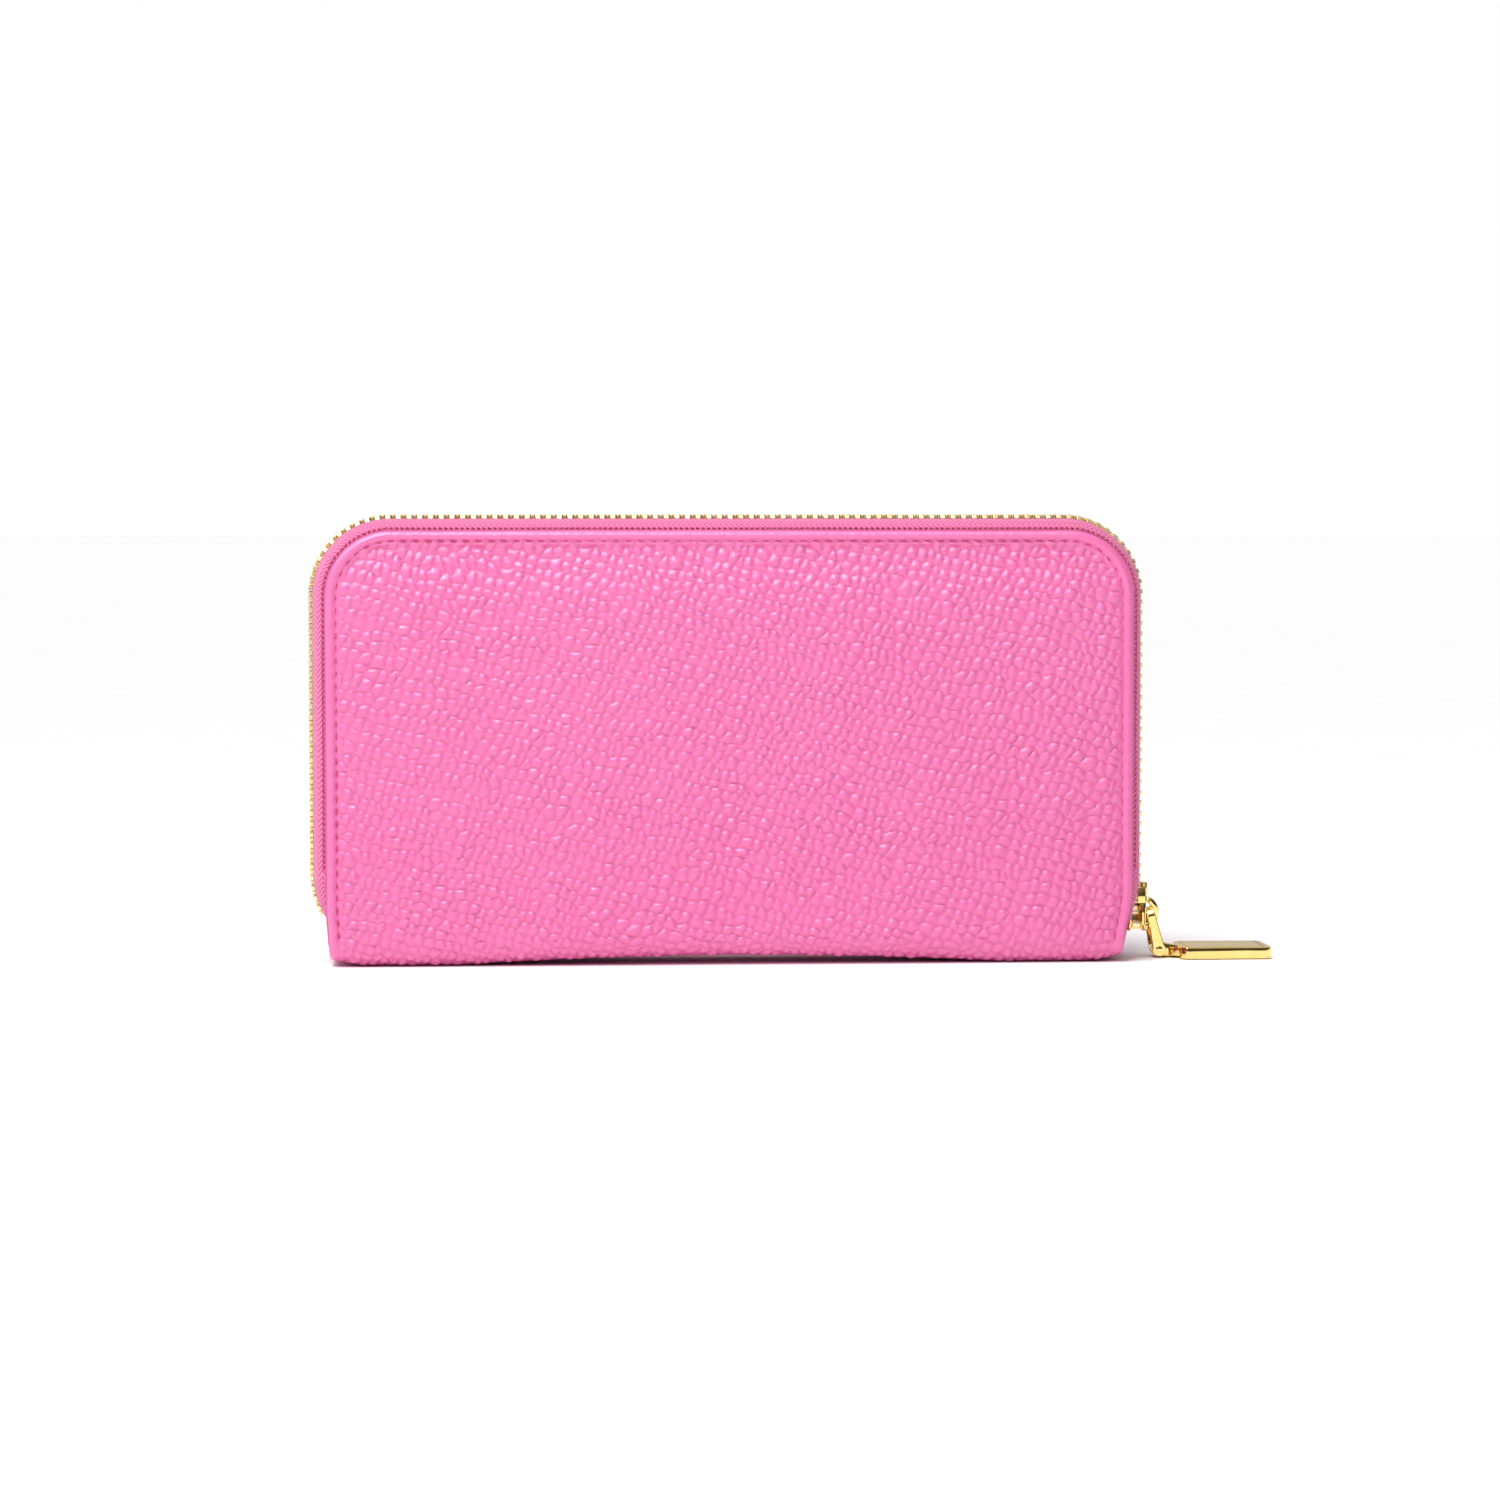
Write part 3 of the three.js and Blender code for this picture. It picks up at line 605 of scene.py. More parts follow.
def outer_skin():
    rows = skin_rows()
    y, z, ny, nz, width = rows.T
    columns = int(2 * COVER_W / GRID)
    u = np.linspace(-1, 1, columns)
    x = width[:, None] * u[None, :]
    down = np.concatenate([[0], np.cumsum(np.hypot(np.diff(y), np.diff(z)))])[:, None] + 0 * x
    zz = z[:, None] + 0 * x
    d = np.where(
        zz > COVER_TOP - COVER_R,
        arch_distance(x, zz, COVER_W, COVER_TOP, COVER_R),
        width[:, None] - np.abs(x),
    )
    d = np.minimum(np.maximum(d, 0), np.maximum(COVER_TOP - zz, 0) + 0 * x)
    grain, crease = pebbles(x, down)
    grain_share = 0.1 + 0.9 * smoothstep(STITCH_IN + 0.1, STITCH_IN + 1.2, d)
    along = np.where(np.abs(x) > COVER_W - COVER_R, zz, x)
    pucker = 0.09 * np.cos(2 * np.pi * along / RIM_STITCH[0]) * np.exp(-(((d - STITCH_IN) / 0.9) ** 2))
    top_roll = 0.9 * smoothstep(COVER_TOP - 15, COVER_TOP - 3, zz)
    top_roll = top_roll * smoothstep(STITCH_IN, STITCH_IN + 1.5, d)
    height = (
        rim_profile(d) * (0.25 + 0.75 * smoothstep(1.5, 8, zz))
        + 0.92 * (grain - 0.55) * grain_share
        + 0.22 * soft_noise(x, down, 31, 40)
        + 0.07 * soft_noise(x, down, 9, 41)
        + pucker
        - top_roll
    )
    x = skin_x(x, zz)
    height = np.where(zz < 0.5, np.minimum(height, 0.0), height)
    py = y[:, None] + ny[:, None] * height
    pz = np.maximum(z[:, None] + nz[:, None] * height, 0.0) + foot_lift(x, zz)
    core = np.stack([x, py, pz], -1)
    count = len(rows)
    # The turned edge runs from the rim round to the inside of the cover.
    inside = LEATHER_T + 0.1
    turned = [(-0.12, 1.15), (0.05, 1.4), (0.7, inside), (3.0, inside), (7.0, inside)]
    theta = np.arcsin(np.clip((z - COVER_TOP + COVER_R) / COVER_R, 0, 1))
    sides = []
    for sign in (-1, 1):
        strip = []
        for inward, depth in turned:
            px = skin_x(sign * (width - inward * np.cos(theta)), z)
            base_z = z - inward * np.sin(theta)
            lift = foot_lift(px, z)
            strip.append(np.stack([px, y - ny * depth, base_z - nz * depth + lift], -1))
        sides.append(np.stack(strip, 1))
    tops = []
    for row, sign in ((0, -1), (-1, 1)):
        strip = []
        for inward, depth in turned:
            at_y = np.full(columns, sign * (DEPTH - depth))
            strip.append(np.stack([x[row], at_y, np.full(columns, COVER_TOP - inward)], -1))
        tops.append(np.stack(strip, 0))
    verts = [core.reshape(-1, 3)]
    faces = [grid_quads(count, columns)]
    offset = count * columns
    steps = len(turned)
    index = np.arange(count * columns).reshape(count, columns)

    def stitch_on(edge, strip_index):
        """Quads that join a line of core points to a strip of further points (points, steps)."""
        table = np.concatenate([edge[:, None], strip_index], 1)
        a, b = table[:-1, :-1], table[:-1, 1:]
        c, e = table[1:, 1:], table[1:, :-1]
        return np.stack([a, b, c, e], -1).reshape(-1, 4)

    for edge, strip, flip in ((index[:, 0], sides[0], True), (index[:, -1], sides[1], False)):
        strip_index = offset + np.arange(count * steps).reshape(count, steps)
        quads = stitch_on(edge, strip_index)
        faces.append(quads[:, ::-1] if flip else quads)
        verts.append(strip.reshape(-1, 3))
        offset += count * steps
    for edge, strip, flip in ((index[0], tops[0], False), (index[-1], tops[1], True)):
        strip_index = offset + np.arange(columns * steps).reshape(steps, columns).T
        quads = stitch_on(edge, strip_index)
        faces.append(quads[:, ::-1] if flip else quads)
        verts.append(strip.reshape(-1, 3))
        offset += columns * steps
    points = np.concatenate(verts)
    painted_crease_shade = np.ones(len(points))
    # Painted shade: this grain attribute darkens the colour in the creases between grains.
    painted_crease_shade[: count * columns] = (1 - crease * grain_share).ravel()
    skin = make_mesh("outer_leather", points, np.concatenate(faces))
    add_float(skin, "grain", painted_crease_shade)
    stands_for = ("front_leather", "back_leather", "spine_leather")
    finish_piece(skin, LEATHER, None, *stands_for, slot="leather")
    bend_with_spine(skin)


# ---- stitches ----
def stitch_mesh(centres, directions, normals, length, radius):
    """Short rounded threads lying on a surface, their ends dipping into it."""
    sides, rings = 7, 7
    t = np.linspace(-1, 1, rings)
    thick = radius * np.sqrt(np.clip(1 - np.abs(t) ** 3.2, 0.04, 1))
    dip = -radius * 1.3 * t**4
    a = np.linspace(0, 2 * np.pi, sides, endpoint=False)
    across = np.cross(directions, normals)
    points = (
        centres[:, None, None]
        + directions[:, None, None] * (t * length / 2)[None, :, None, None]
        + normals[:, None, None] * (dip[:, None] + thick[:, None] * np.sin(a))[None, :, :, None]
        + across[:, None, None] * (thick[:, None] * np.cos(a))[None, :, :, None]
    )
    one = grid_quads(rings, sides, closed_columns=True)
    faces = (one[None] + (np.arange(len(centres)) * rings * sides)[:, None, None]).reshape(-1, 4)
    return points.reshape(-1, 3), faces


def stitch_row(path, normal, pitch, length, radius, slant=0.05):
    """Stitches spaced along a polyline that lies on a surface with this normal."""
    path = np.asarray(path, float)
    gaps = np.linalg.norm(np.diff(path, axis=0), axis=1)
    along = np.concatenate([[0], np.cumsum(gaps)])
    at = np.arange(pitch / 2, along[-1], pitch)
    centres = np.stack([np.interp(at, along, path[:, k]) for k in range(3)], -1)
    ahead = np.stack([np.interp(at + 0.4, along, path[:, k]) for k in range(3)], -1)
    behind = np.stack([np.interp(at - 0.4, along, path[:, k]) for k in range(3)], -1)
    direction = ahead - behind
    direction /= np.linalg.norm(direction, axis=1, keepdims=True)
    normals = np.broadcast_to(np.asarray(normal, float), centres.shape)
    across = np.cross(direction, normals)
    direction = direction + across * (slant + 0.05 * RANDOM.standard_normal(len(at)))[:, None]
    direction /= np.linalg.norm(direction, axis=1, keepdims=True)
    return stitch_mesh(centres, direction, normals, length, radius)


def cover_stitches(side, sign):
    """The row of stitches inside a cover's rim, with a doubled run at each lower end."""
    at, out = arch_path(COVER_W, COVER_TOP, COVER_R, 4.5, 0.5)[1:]
    line = at - out * STITCH_IN
    line[:, 0] = skin_x(line[:, 0], line[:, 1])
    sunk = rim_profile(STITCH_IN) * (0.25 + 0.75 * smoothstep(1.5, 8, line[:, 1]))
    path = np.stack([line[:, 0], sign * (DEPTH + sunk + 0.16), line[:, 1]], -1)
    normal = (0, sign, 0)
    parts = [stitch_row(path, normal, *RIM_STITCH)]
    for ending in (path[:22], path[-22:]):
        doubled = ending + np.array([0.0, sign * 0.12, 0.0])
        parts.append(stitch_row(doubled[1:], normal, *RIM_STITCH, slant=-0.16))
    made = make_mesh(f"{side}_rim_stitches", *join_parts(parts))
    finish_piece(made, THREAD, f"{side}_cover", slot="leather")


def tape_stitches(side, sign):
    """Fine stitches that hold the tape, showing beside the cover's edge."""
    at = arch_path(COVER_W + 0.5, COVER_TOP + 0.5, COVER_R + 0.5, 22, 0.4)[1]
    y = np.full(len(at), sign * (DEPTH - LEATHER_T - 0.75))
    x = at[:, 0] + 0.8 * LEFT_INSET * smoothstep(-60, -92, at[:, 0])
    path = np.stack([x, y, at[:, 1]], -1)
    made = make_mesh(f"{side}_tape_stitches", *stitch_row(path, (0, sign, 0), *TAPE_STITCH))
    finish_piece(made, TAPE_THREAD, f"{side}_cover", slot="tape")


# ---- zip ----
def zip_tape(side, sign):
    """Woven tape from under the cover's edge, out and over to the teeth."""
    t, at, out = chain_path(0.8)
    under = DEPTH - LEATHER_T - 0.4
    face = np.array([
        (under, -6.2), (under - 0.35, -4.4), (under - 0.75, -3.3), (under - 1.4, -2.5),
        (under - 2.6, -1.75), (under - 4.3, -1.2),
        (CHAIN_EDGE + 1.2, -0.95), (CHAIN_EDGE - 0.6, -0.95),
    ])
    dense = np.linspace(0, len(face) - 1, 22)
    corner = np.arange(len(face))
    outer = np.stack([np.interp(dense, corner, face[:, k]) for k in range(2)], -1)
    step = np.gradient(outer, axis=0)
    step /= np.linalg.norm(step, axis=1, keepdims=True)
    inner = outer - np.stack([step[:, 1], -step[:, 0]], -1) * 0.5
    ring = np.concatenate([outer, inner[::-1]])
    at[:, 0] -= 1.7 * smoothstep(19, 9, at[:, 1]) * (at[:, 0] > 0)
    place = at[:, None] + out[:, None] * ring[None, :, 1, None]
    y = np.broadcast_to(sign * ring[None, :, 0], place.shape[:2])
    points = np.stack([place[..., 0], y, place[..., 1]], -1)
    faces = grid_quads(len(t), len(ring), closed_columns=True)
    end = np.arange(len(ring))[None]
    faces = [faces, end[:, ::-1], (len(t) - 1) * len(ring) + end]
    if sign > 0:
        faces = [f[:, ::-1] for f in faces]
    made = make_mesh(f"{side}_tape", points.reshape(-1, 3), faces)
    across = np.concatenate([[0], np.cumsum(np.linalg.norm(np.diff(ring, axis=0), axis=1))])
    uv = np.stack(np.broadcast_arrays(t[:, None], across[None, :]), -1).reshape(-1, 2)
    add_uv(made, uv)
    finish_piece(made, TAPE, f"{side}_cover", f"{side}_zip_tape", slot="tape")


def tooth_shape():
    """One tooth; its axes: along the zip, outward, and from its own tape to the other's."""
    made = bmesh.new()

    def prism(outline, low, high):
        rings = [[made.verts.new((a, o, c)) for c, a in outline] for o in (low, high)]
        count = len(outline)
        for i in range(count):
            j = (i + 1) % count
            made.faces.new((rings[0][i], rings[0][j], rings[1][j], rings[1][i]))
        made.faces.new(rings[0][::-1])
        made.faces.new(rings[1])
        return rings[0] + rings[1]

    head = [(2.2, -0.62), (2.2, 0.62), (1.2, 0.4), (0.62, 0.6), (0.1, 0.62), (-0.6, 0.34),
            (-0.6, -0.34), (0.1, -0.62), (0.62, -0.6), (1.2, -0.4)]
    prism(head, -CHAIN_T, 0)
    leg = [(2.0, -0.62), (2.0, 0.62), (3.35, 0.55), (3.35, -0.55)]
    for corner in prism(leg, -0.85, 0.02):
        if corner.co.z > 3 and corner.co.y > -0.5:
            corner.co.z -= 0.75  # the outer leg slopes down towards the tape
    prism(leg, -CHAIN_T - 0.02, -CHAIN_T + 0.55)
    bmesh.ops.recalc_face_normals(made, faces=made.faces)
    bmesh.ops.bevel(
        made, geom=list(made.edges), offset=0.13, segments=2, affect="EDGES", profile=0.6
    )
    bmesh.ops.triangulate(made, faces=made.faces)
    points = np.array([v.co for v in made.verts])
    faces = np.array([[v.index for v in f.verts] for f in made.faces])
    made.free()
    return points, faces


def zip_teeth(side, sign, shift):
    """A row of separate teeth, each clamped to the tape's edge, interlocking with the other row."""
    t, at, out = chain_path(0.25)
    spots = np.arange(1.2 + shift, t[-1] - 1.0, TOOTH_PITCH)
    x, z = (np.interp(spots, t, at[:, k]) for k in range(2))
    ox, oz = (np.interp(spots, t, out[:, k]) for k in range(2))
    shape, faces = tooth_shape()
    along = np.stack([-oz, 0 * ox, ox], -1)
    outward = np.stack([ox, 0 * ox, oz], -1)
    across = np.array([0.0, sign, 0.0])
    centre = np.stack([x, 0 * x, z], -1)
    wobble = 1 + 0.012 * RANDOM.standard_normal(len(spots))
    points = (
        centre[:, None]
        + along[:, None] * shape[None, :, 0, None]
        + outward[:, None] * (shape[None, :, 1] * wobble[:, None])[..., None]
        + across * shape[None, :, 2, None]
    )
    if sign < 0:
        faces = faces[:, ::-1]
    every = (faces[None] + (np.arange(len(spots)) * len(shape))[:, None, None]).reshape(-1, 3)
    made = make_mesh(f"{side}_teeth", points.reshape(-1, 3), every[:, ::-1], smooth=False)
    finish_piece(made, TEETH_GOLD, f"{side}_cover", f"{side}_zip_teeth", slot="gold_metal")


def beveled_prism(name, outline, low, high, axis, width=0.2, segments=3):
    """A prism from an outline in the two other axes, with rounded edges."""
    made = bmesh.new()
    order = {"x": (2, 0, 1), "y": (0, 2, 1), "z": (0, 1, 2)}[axis]
    rings = []
    for level in (low, high):
        ring = []
        for a, b in outline:
            raw = (a, b, level)
            ring.append(made.verts.new([raw[k] * MM for k in order]))
        rings.append(ring)
    count = len(outline)
    for i in range(count):
        j = (i + 1) % count
        made.faces.new((rings[0][i], rings[0][j], rings[1][j], rings[1][i]))
    made.faces.new(rings[0][::-1])
    made.faces.new(rings[1])
    bmesh.ops.recalc_face_normals(made, faces=made.faces)
    if width:
        sharp = [e for e in made.edges if e.calc_face_angle(0) > 0.5]
        bmesh.ops.bevel(
            made, geom=sharp, offset=width * MM, segments=segments, affect="EDGES",
            profile=0.5, clamp_overlap=True,
        )
    mesh = bpy.data.meshes.new(name)
    made.to_mesh(mesh)
    made.free()
    obj = bpy.data.objects.new(name, mesh)
    bpy.context.scene.collection.objects.link(obj)
    return obj


def rectangle(a0, b0, a1, b1):
    return [(a0, b0), (a1, b0), (a1, b1), (a0, b1)]


def soften(obj, degrees=32):
    """Smooth shading that keeps edges sharper than this angle."""
    mesh = obj.data
    mesh.polygons.foreach_set("use_smooth", np.ones(len(mesh.polygons), bool))
    made = bmesh.new()
    made.from_mesh(mesh)
    for e in made.edges:
        e.smooth = e.calc_face_angle(0) < math.radians(degrees)
    made.to_mesh(mesh)
    made.free()
    return obj


def merge_objects(name, objs):
    """One object from several, keeping each one's shape."""
    made = bmesh.new()
    for o in objs:
        copy = o.data.copy()
        copy.transform(o.matrix_world)
        made.from_mesh(copy)
        bpy.data.meshes.remove(copy)
        bpy.data.objects.remove(o)
    mesh = bpy.data.meshes.new(name)
    made.to_mesh(mesh)
    made.free()
    obj = bpy.data.objects.new(name, mesh)
    bpy.context.scene.collection.objects.link(obj)
    return soften(obj)


def cylinder(centre, axis, radius, length, sides=28, bevel=0.12):
    a = np.linspace(0, 2 * np.pi, sides, endpoint=False)
    outline = [(radius * math.cos(t), radius * math.sin(t)) for t in a]
    obj = beveled_prism("part", outline, -length / 2, length / 2, axis, bevel, 2)
    obj.location = Vector(centre) * MM
    bpy.context.view_layer.update()
    return obj


def zip_stop(side, sign, at_end):
    """A small clamped block past the last tooth."""
    at, out = chain_path(0.25)[1:]
    i = -1 if at_end else 0
    x, z = at[i]
    ox, oz = out[i]
    direction = 1 if at_end else -1
    along = np.array([-oz, ox]) * direction
    corners = []
    for o, s in ((0, 0.5), (0, 2.1), (-CHAIN_T, 2.1), (-CHAIN_T, 0.5)):
        px, pz = np.array([x, z]) + np.array([ox, oz]) * o + along * s
        corners.append((px, pz))
    low, high = sorted((sign * 0.8, sign * 3.0))
    name = f"{side}_{'bottom' if at_end else 'top'}_stop"
    made = soften(beveled_prism(name + "_look", corners, low, high, "y", 0.25))
    finish_piece(made, TEETH_GOLD, f"{side}_cover", name, slot="gold_metal")


# ---- main slider, link and pull ----
def slider_body():
    """Two plates with lips, a wedge between them and a small capped lug over the hook's tip."""
    x_in, x_out = slider_low[0], slider_high[0]
    z0, z1 = slider_low[2], slider_high[2]
    w = slider_high[1]
    mid = z0 + 0.55 * (z1 - z0)
    half = [
        (w - 1.3, z0), (w - 0.35, z0 + 0.45), (w, z0 + 1.4), (w, mid), (w - 0.45, mid + 2.6),
        (w - 0.8, z1 - 0.6), (w - 1.5, z1),
    ]
    outline = [(-a, b) for a, b in half[::-1]] + half
    plate_t = 0.75
    parts = []

    def add(shape, low, high, *edges):
        parts.append(beveled_prism("part", shape, low, high, "x", *edges))

    add(outline, x_out - plate_t, x_out, 0.28)
    add(outline, x_in, x_in + plate_t, 0.28)
    wedge = [(-0.4, z0 + 0.2), (0.4, z0 + 0.2), (0.25, z0 + 3.6), (-0.25, z0 + 3.6)]
    add(wedge, x_in + 0.3, x_out - 0.3, 0.1, 2)
    for sign, outer_lip, inner_lip in ((-1, 0.22, 0.1), (1, 0.85, 0.5)):
        low, high = sorted((sign * (w - 0.5), sign * w))
        lip = rectangle(low, z0 + 1.4, high, mid)
        add(lip, x_out - plate_t - outer_lip, x_out - 0.2, 0.09, 2)
        add(lip, x_in + 0.2, x_in + plate_t + inner_lip, 0.09, 2)
    for low, high in ((x_out - 1.95, x_out - 0.2), (x_in + 0.2, x_in + 1.2)):
        lip = [(-w, mid + 0.4), (0.48 - w, mid + 0.4), (0.48 - w, z1 - 1.0), (0.3 - w, z1 - 1.0)]
        add(lip, low, high, 0.09, 2)
    lug_x = x_out - 0.05
    parts.append(cylinder((lug_x, 0, z1 - 1.9), "z", 0.9, 3.6, 28, 0.2))
    add(rectangle(-1.15, z1 - 3.9, 1.15, z1 - 0.3), x_out - 0.2, x_out + 0.35, 0.15, 2)
    add(rectangle(-0.6, z1 - 4.9, 0.6, z1 - 3.7), x_out - 0.1, x_out + 0.75, 0.2, 2)
    made = merge_objects("slider_body_look", parts)
    finish_piece(made, GOLD, "zip_slider", "slider_body", slot="gold_metal")
    # Painted shade: a thin dark disc on the lug's top stands for the shade inside its hole.
    hole_shade_disc = cylinder((lug_x, 0, z1 - 0.09), "z", 0.5, 0.08, 20, 0)
    hole_shade_disc.name = "slider_painted_hole_shade"
    finish_piece(soften(hole_shade_disc), HOLE_SHADE, "zip_slider", slot="gold_metal")


def slider_hook():
    """Open hook: out from the plate's lower end, up past the link and back towards the plate."""
    x0, x1 = hook_low[0], hook_high[0]
    z0 = hook_low[2]
    half_w, half_h = x1 - x0 + 0.3, 4.1
    cx, cz = x0 - 0.3, z0 + 4.1
    angles = np.linspace(-math.pi / 2, math.radians(66), 26)
    outside = [(cx + half_w * math.cos(a), cz + half_h * math.sin(a)) for a in angles]
    inside = [
        (cx + (half_w - 1.3) * math.cos(a), cz + (half_h - 1.6) * math.sin(a)) for a in angles[::-1]
    ]
    outside = [(x0 - 0.8, z0), *outside]
    inside = [*inside, (x0 - 0.8, z0 + 1.6)]
    made = beveled_prism("slider_hook_look", outside + inside, -1.45, 1.45, "y", 0.35, 3)
    finish_piece(soften(made, 40), GOLD, "zip_slider", "slider_hook", slot="gold_metal")


def pull_link():
    """A strap bent into a U: an eye at each end for the pin, and the bend over the hook."""
    reach = 2.95
    length = float(np.hypot(PIN_AT[0] - LINK_AT[0], PIN_AT[2] - LINK_AT[2]))
    eye = 1.6
    bend = 1.5
    low = -length - eye
    straight = np.linspace(low, -bend, 44)
    arc = np.linspace(0, math.pi / 2, 10)[1:]
    first = [(-reach, z) for z in straight] + [
        (-reach + bend - bend * math.cos(a), -bend + bend * math.sin(a)) for a in arc
    ]
    half = np.array(first)
    centre = np.concatenate([half, (half * [-1, 1])[::-1]])
    z = centre[:, 1]
    below = z + length
    taper = 0.92 + (1.45 - 0.92) * np.clip(-z / length, 0, 1) ** 1.3
    round_end = np.sqrt(np.clip(eye**2 - below**2, 0.0, None))
    wide = np.where(below < 0, round_end, np.maximum(taper, round_end))
    wide = np.maximum(wide, 0.12)
    step = np.gradient(centre, axis=0)
    step /= np.linalg.norm(step, axis=1, keepdims=True)
    out = np.stack([-step[:, 1], step[:, 0]], -1)
    thick = 0.45
    c = 0.2
    section = [
        (-1, -thick + c, 0), (-1, thick - c, 0), (-1, thick, c), (1, thick, -c),
        (1, thick - c, 0), (1, -thick + c, 0), (1, -thick, -c), (-1, -thick, c),
    ]
    points = np.zeros((len(centre), len(section), 3))
    for k, (side, depth, inset) in enumerate(section):
        points[:, k, 0] = side * wide + inset * np.minimum(1, wide / 0.6)
        points[:, k, 1] = centre[:, 0] + out[:, 0] * depth
        points[:, k, 2] = centre[:, 1] + out[:, 1] * depth
    lean = math.asin((PIN_AT[0] - LINK_AT[0]) / length)
    flat = points.reshape(-1, 3)
    x = flat[:, 0] * math.cos(lean) - flat[:, 2] * math.sin(lean)
    zz = flat[:, 0] * math.sin(lean) + flat[:, 2] * math.cos(lean)
    placed = np.stack([x + LINK_AT[0], flat[:, 1], zz + LINK_AT[2]], -1)
    k = len(section)
    faces = grid_quads(len(centre), k, closed_columns=True)
    ends = [np.arange(k)[None, ::-1], (len(centre) - 1) * k + np.arange(k)[None]]
    made = make_mesh("pull_link_look", placed, [faces, *ends])
    finish_piece(soften(made, 34), GOLD, "link", "pull_link", slot="gold_metal")


def pull_pin():
    """A riveted pin with a low domed head at each end."""
    parts = [cylinder((PIN_AT[0], 0, PIN_AT[2]), "y", 0.5, 7.0, 24, 0.05)]
    for sign in (-1, 1):
        parts.append(cylinder((PIN_AT[0], sign * 3.53, PIN_AT[2]), "y", 0.85, 0.4, 28, 0.14))
    made = merge_objects("pull_pin_look", parts)
    finish_piece(made, GOLD, "tag", "pull_pin", slot="gold_metal")


def pull_tag():
    """Thick flat pull: plate with an engraved border line, necked down to a knuckle on the pin."""
    low, high = cad_box("pull_tag")
    x0, z0 = PIN_AT[0], low[2] - 0.22
    thick = 2.75
    far, w = high[0] - x0, high[1]
    near = 4.5
    r = 1.7
    outline = [(near, -2.4), (near + 0.25, -w + 1.3), (near + 1.3, -w)]
    quarter = np.linspace(0, math.pi / 2, 9)
    outline += [(far - r + r * math.sin(a), -w + r - r * math.cos(a)) for a in quarter]
    outline += [(far - r + r * math.cos(a), w - r + r * math.sin(a)) for a in quarter]
    outline += [(near + 1.3, w), (near + 0.25, w - 1.3), (near, 2.4)]
    outline = [(x0 + a, b) for a, b in outline]
    plate = beveled_prism("part", outline, z0, z0 + thick, "z", 0.28, 4)
    made = bmesh.new()
    made.from_mesh(plate.data)
    bmesh.ops.recalc_face_normals(made, faces=made.faces)
    top = max(made.faces, key=lambda f: f.calc_area() * (f.normal.z > 0.9))
    for thickness, depth in ((1.35, 0), (0.02, -0.13), (0.2, 0), (0.02, 0.13)):
        bmesh.ops.inset_region(made, faces=[top], thickness=thickness * MM, depth=depth * MM)
    made.to_mesh(plate.data)
    made.free()
    knuckle_r = 1.7
    zc = PIN_AT[2]
    root = x0 + near + 0.9
    side = [
        (x0 + 0.2, zc - knuckle_r + 0.05), (root, z0 + 0.1), (root, z0 + thick - 0.1),
        (x0 + 2.9, z0 + thick + 0.25), (x0 + 0.4, zc + knuckle_r - 0.03),
    ]
    neck = beveled_prism("part", side, -2.15, 2.15, "y", 0.2, 3)
    facets = []
    for s in (-1, 1):
        facet = [(2.3, 2.0), (2.6, 2.6), (near + 0.4, 4.6), (near + 0.9, 2.0)]
        facet = [(x0 + a, s * b) for a, b in facet][::s]
        facets.append(beveled_prism("part", facet, z0 + 0.35, z0 + thick - 0.35, "z", 0.15, 2))
    knuckle = cylinder((x0, 0, zc), "y", knuckle_r, 4.3, 32, 0.15)
    whole = merge_objects("pull_tag_look", [plate, neck, knuckle, *facets])
    finish_piece(whole, GOLD, "tag", "pull_tag", slot="gold_metal")


def cover_lining(side, sign):
    """Lining cloth stuck to the board, its edge turned over the tape."""
    rows = np.linspace(8.5, LINING_TOP, 64)
    columns = np.linspace(-1, 1, 120)
    straight_to = LINING_TOP - LINING_R
    arch = np.sqrt(np.clip(LINING_R**2 - (rows - straight_to) ** 2, 0, None))
    half = np.where(rows <= straight_to, LINING_W, LINING_W - LINING_R + arch)
    half = half - 4.2 * smoothstep(22, 9, rows)
    x = half[:, None] * columns[None]
    z = rows[:, None] + 0 * x
    d = arch_distance(x, z, LINING_W, LINING_TOP, LINING_R)
    y = LINING_Y + 0.45 * smoothstep(3.2, 0, d) - 0.12 * soft_noise(x, z, 24, 51 + sign)
    points = np.stack([x, sign * y, z], -1)
    made = slab(f"{side}_lining_look", points, -sign, 0.4)
    finish_piece(made, LINING, f"{side}_cover", f"{side}_lining", slot="lining")


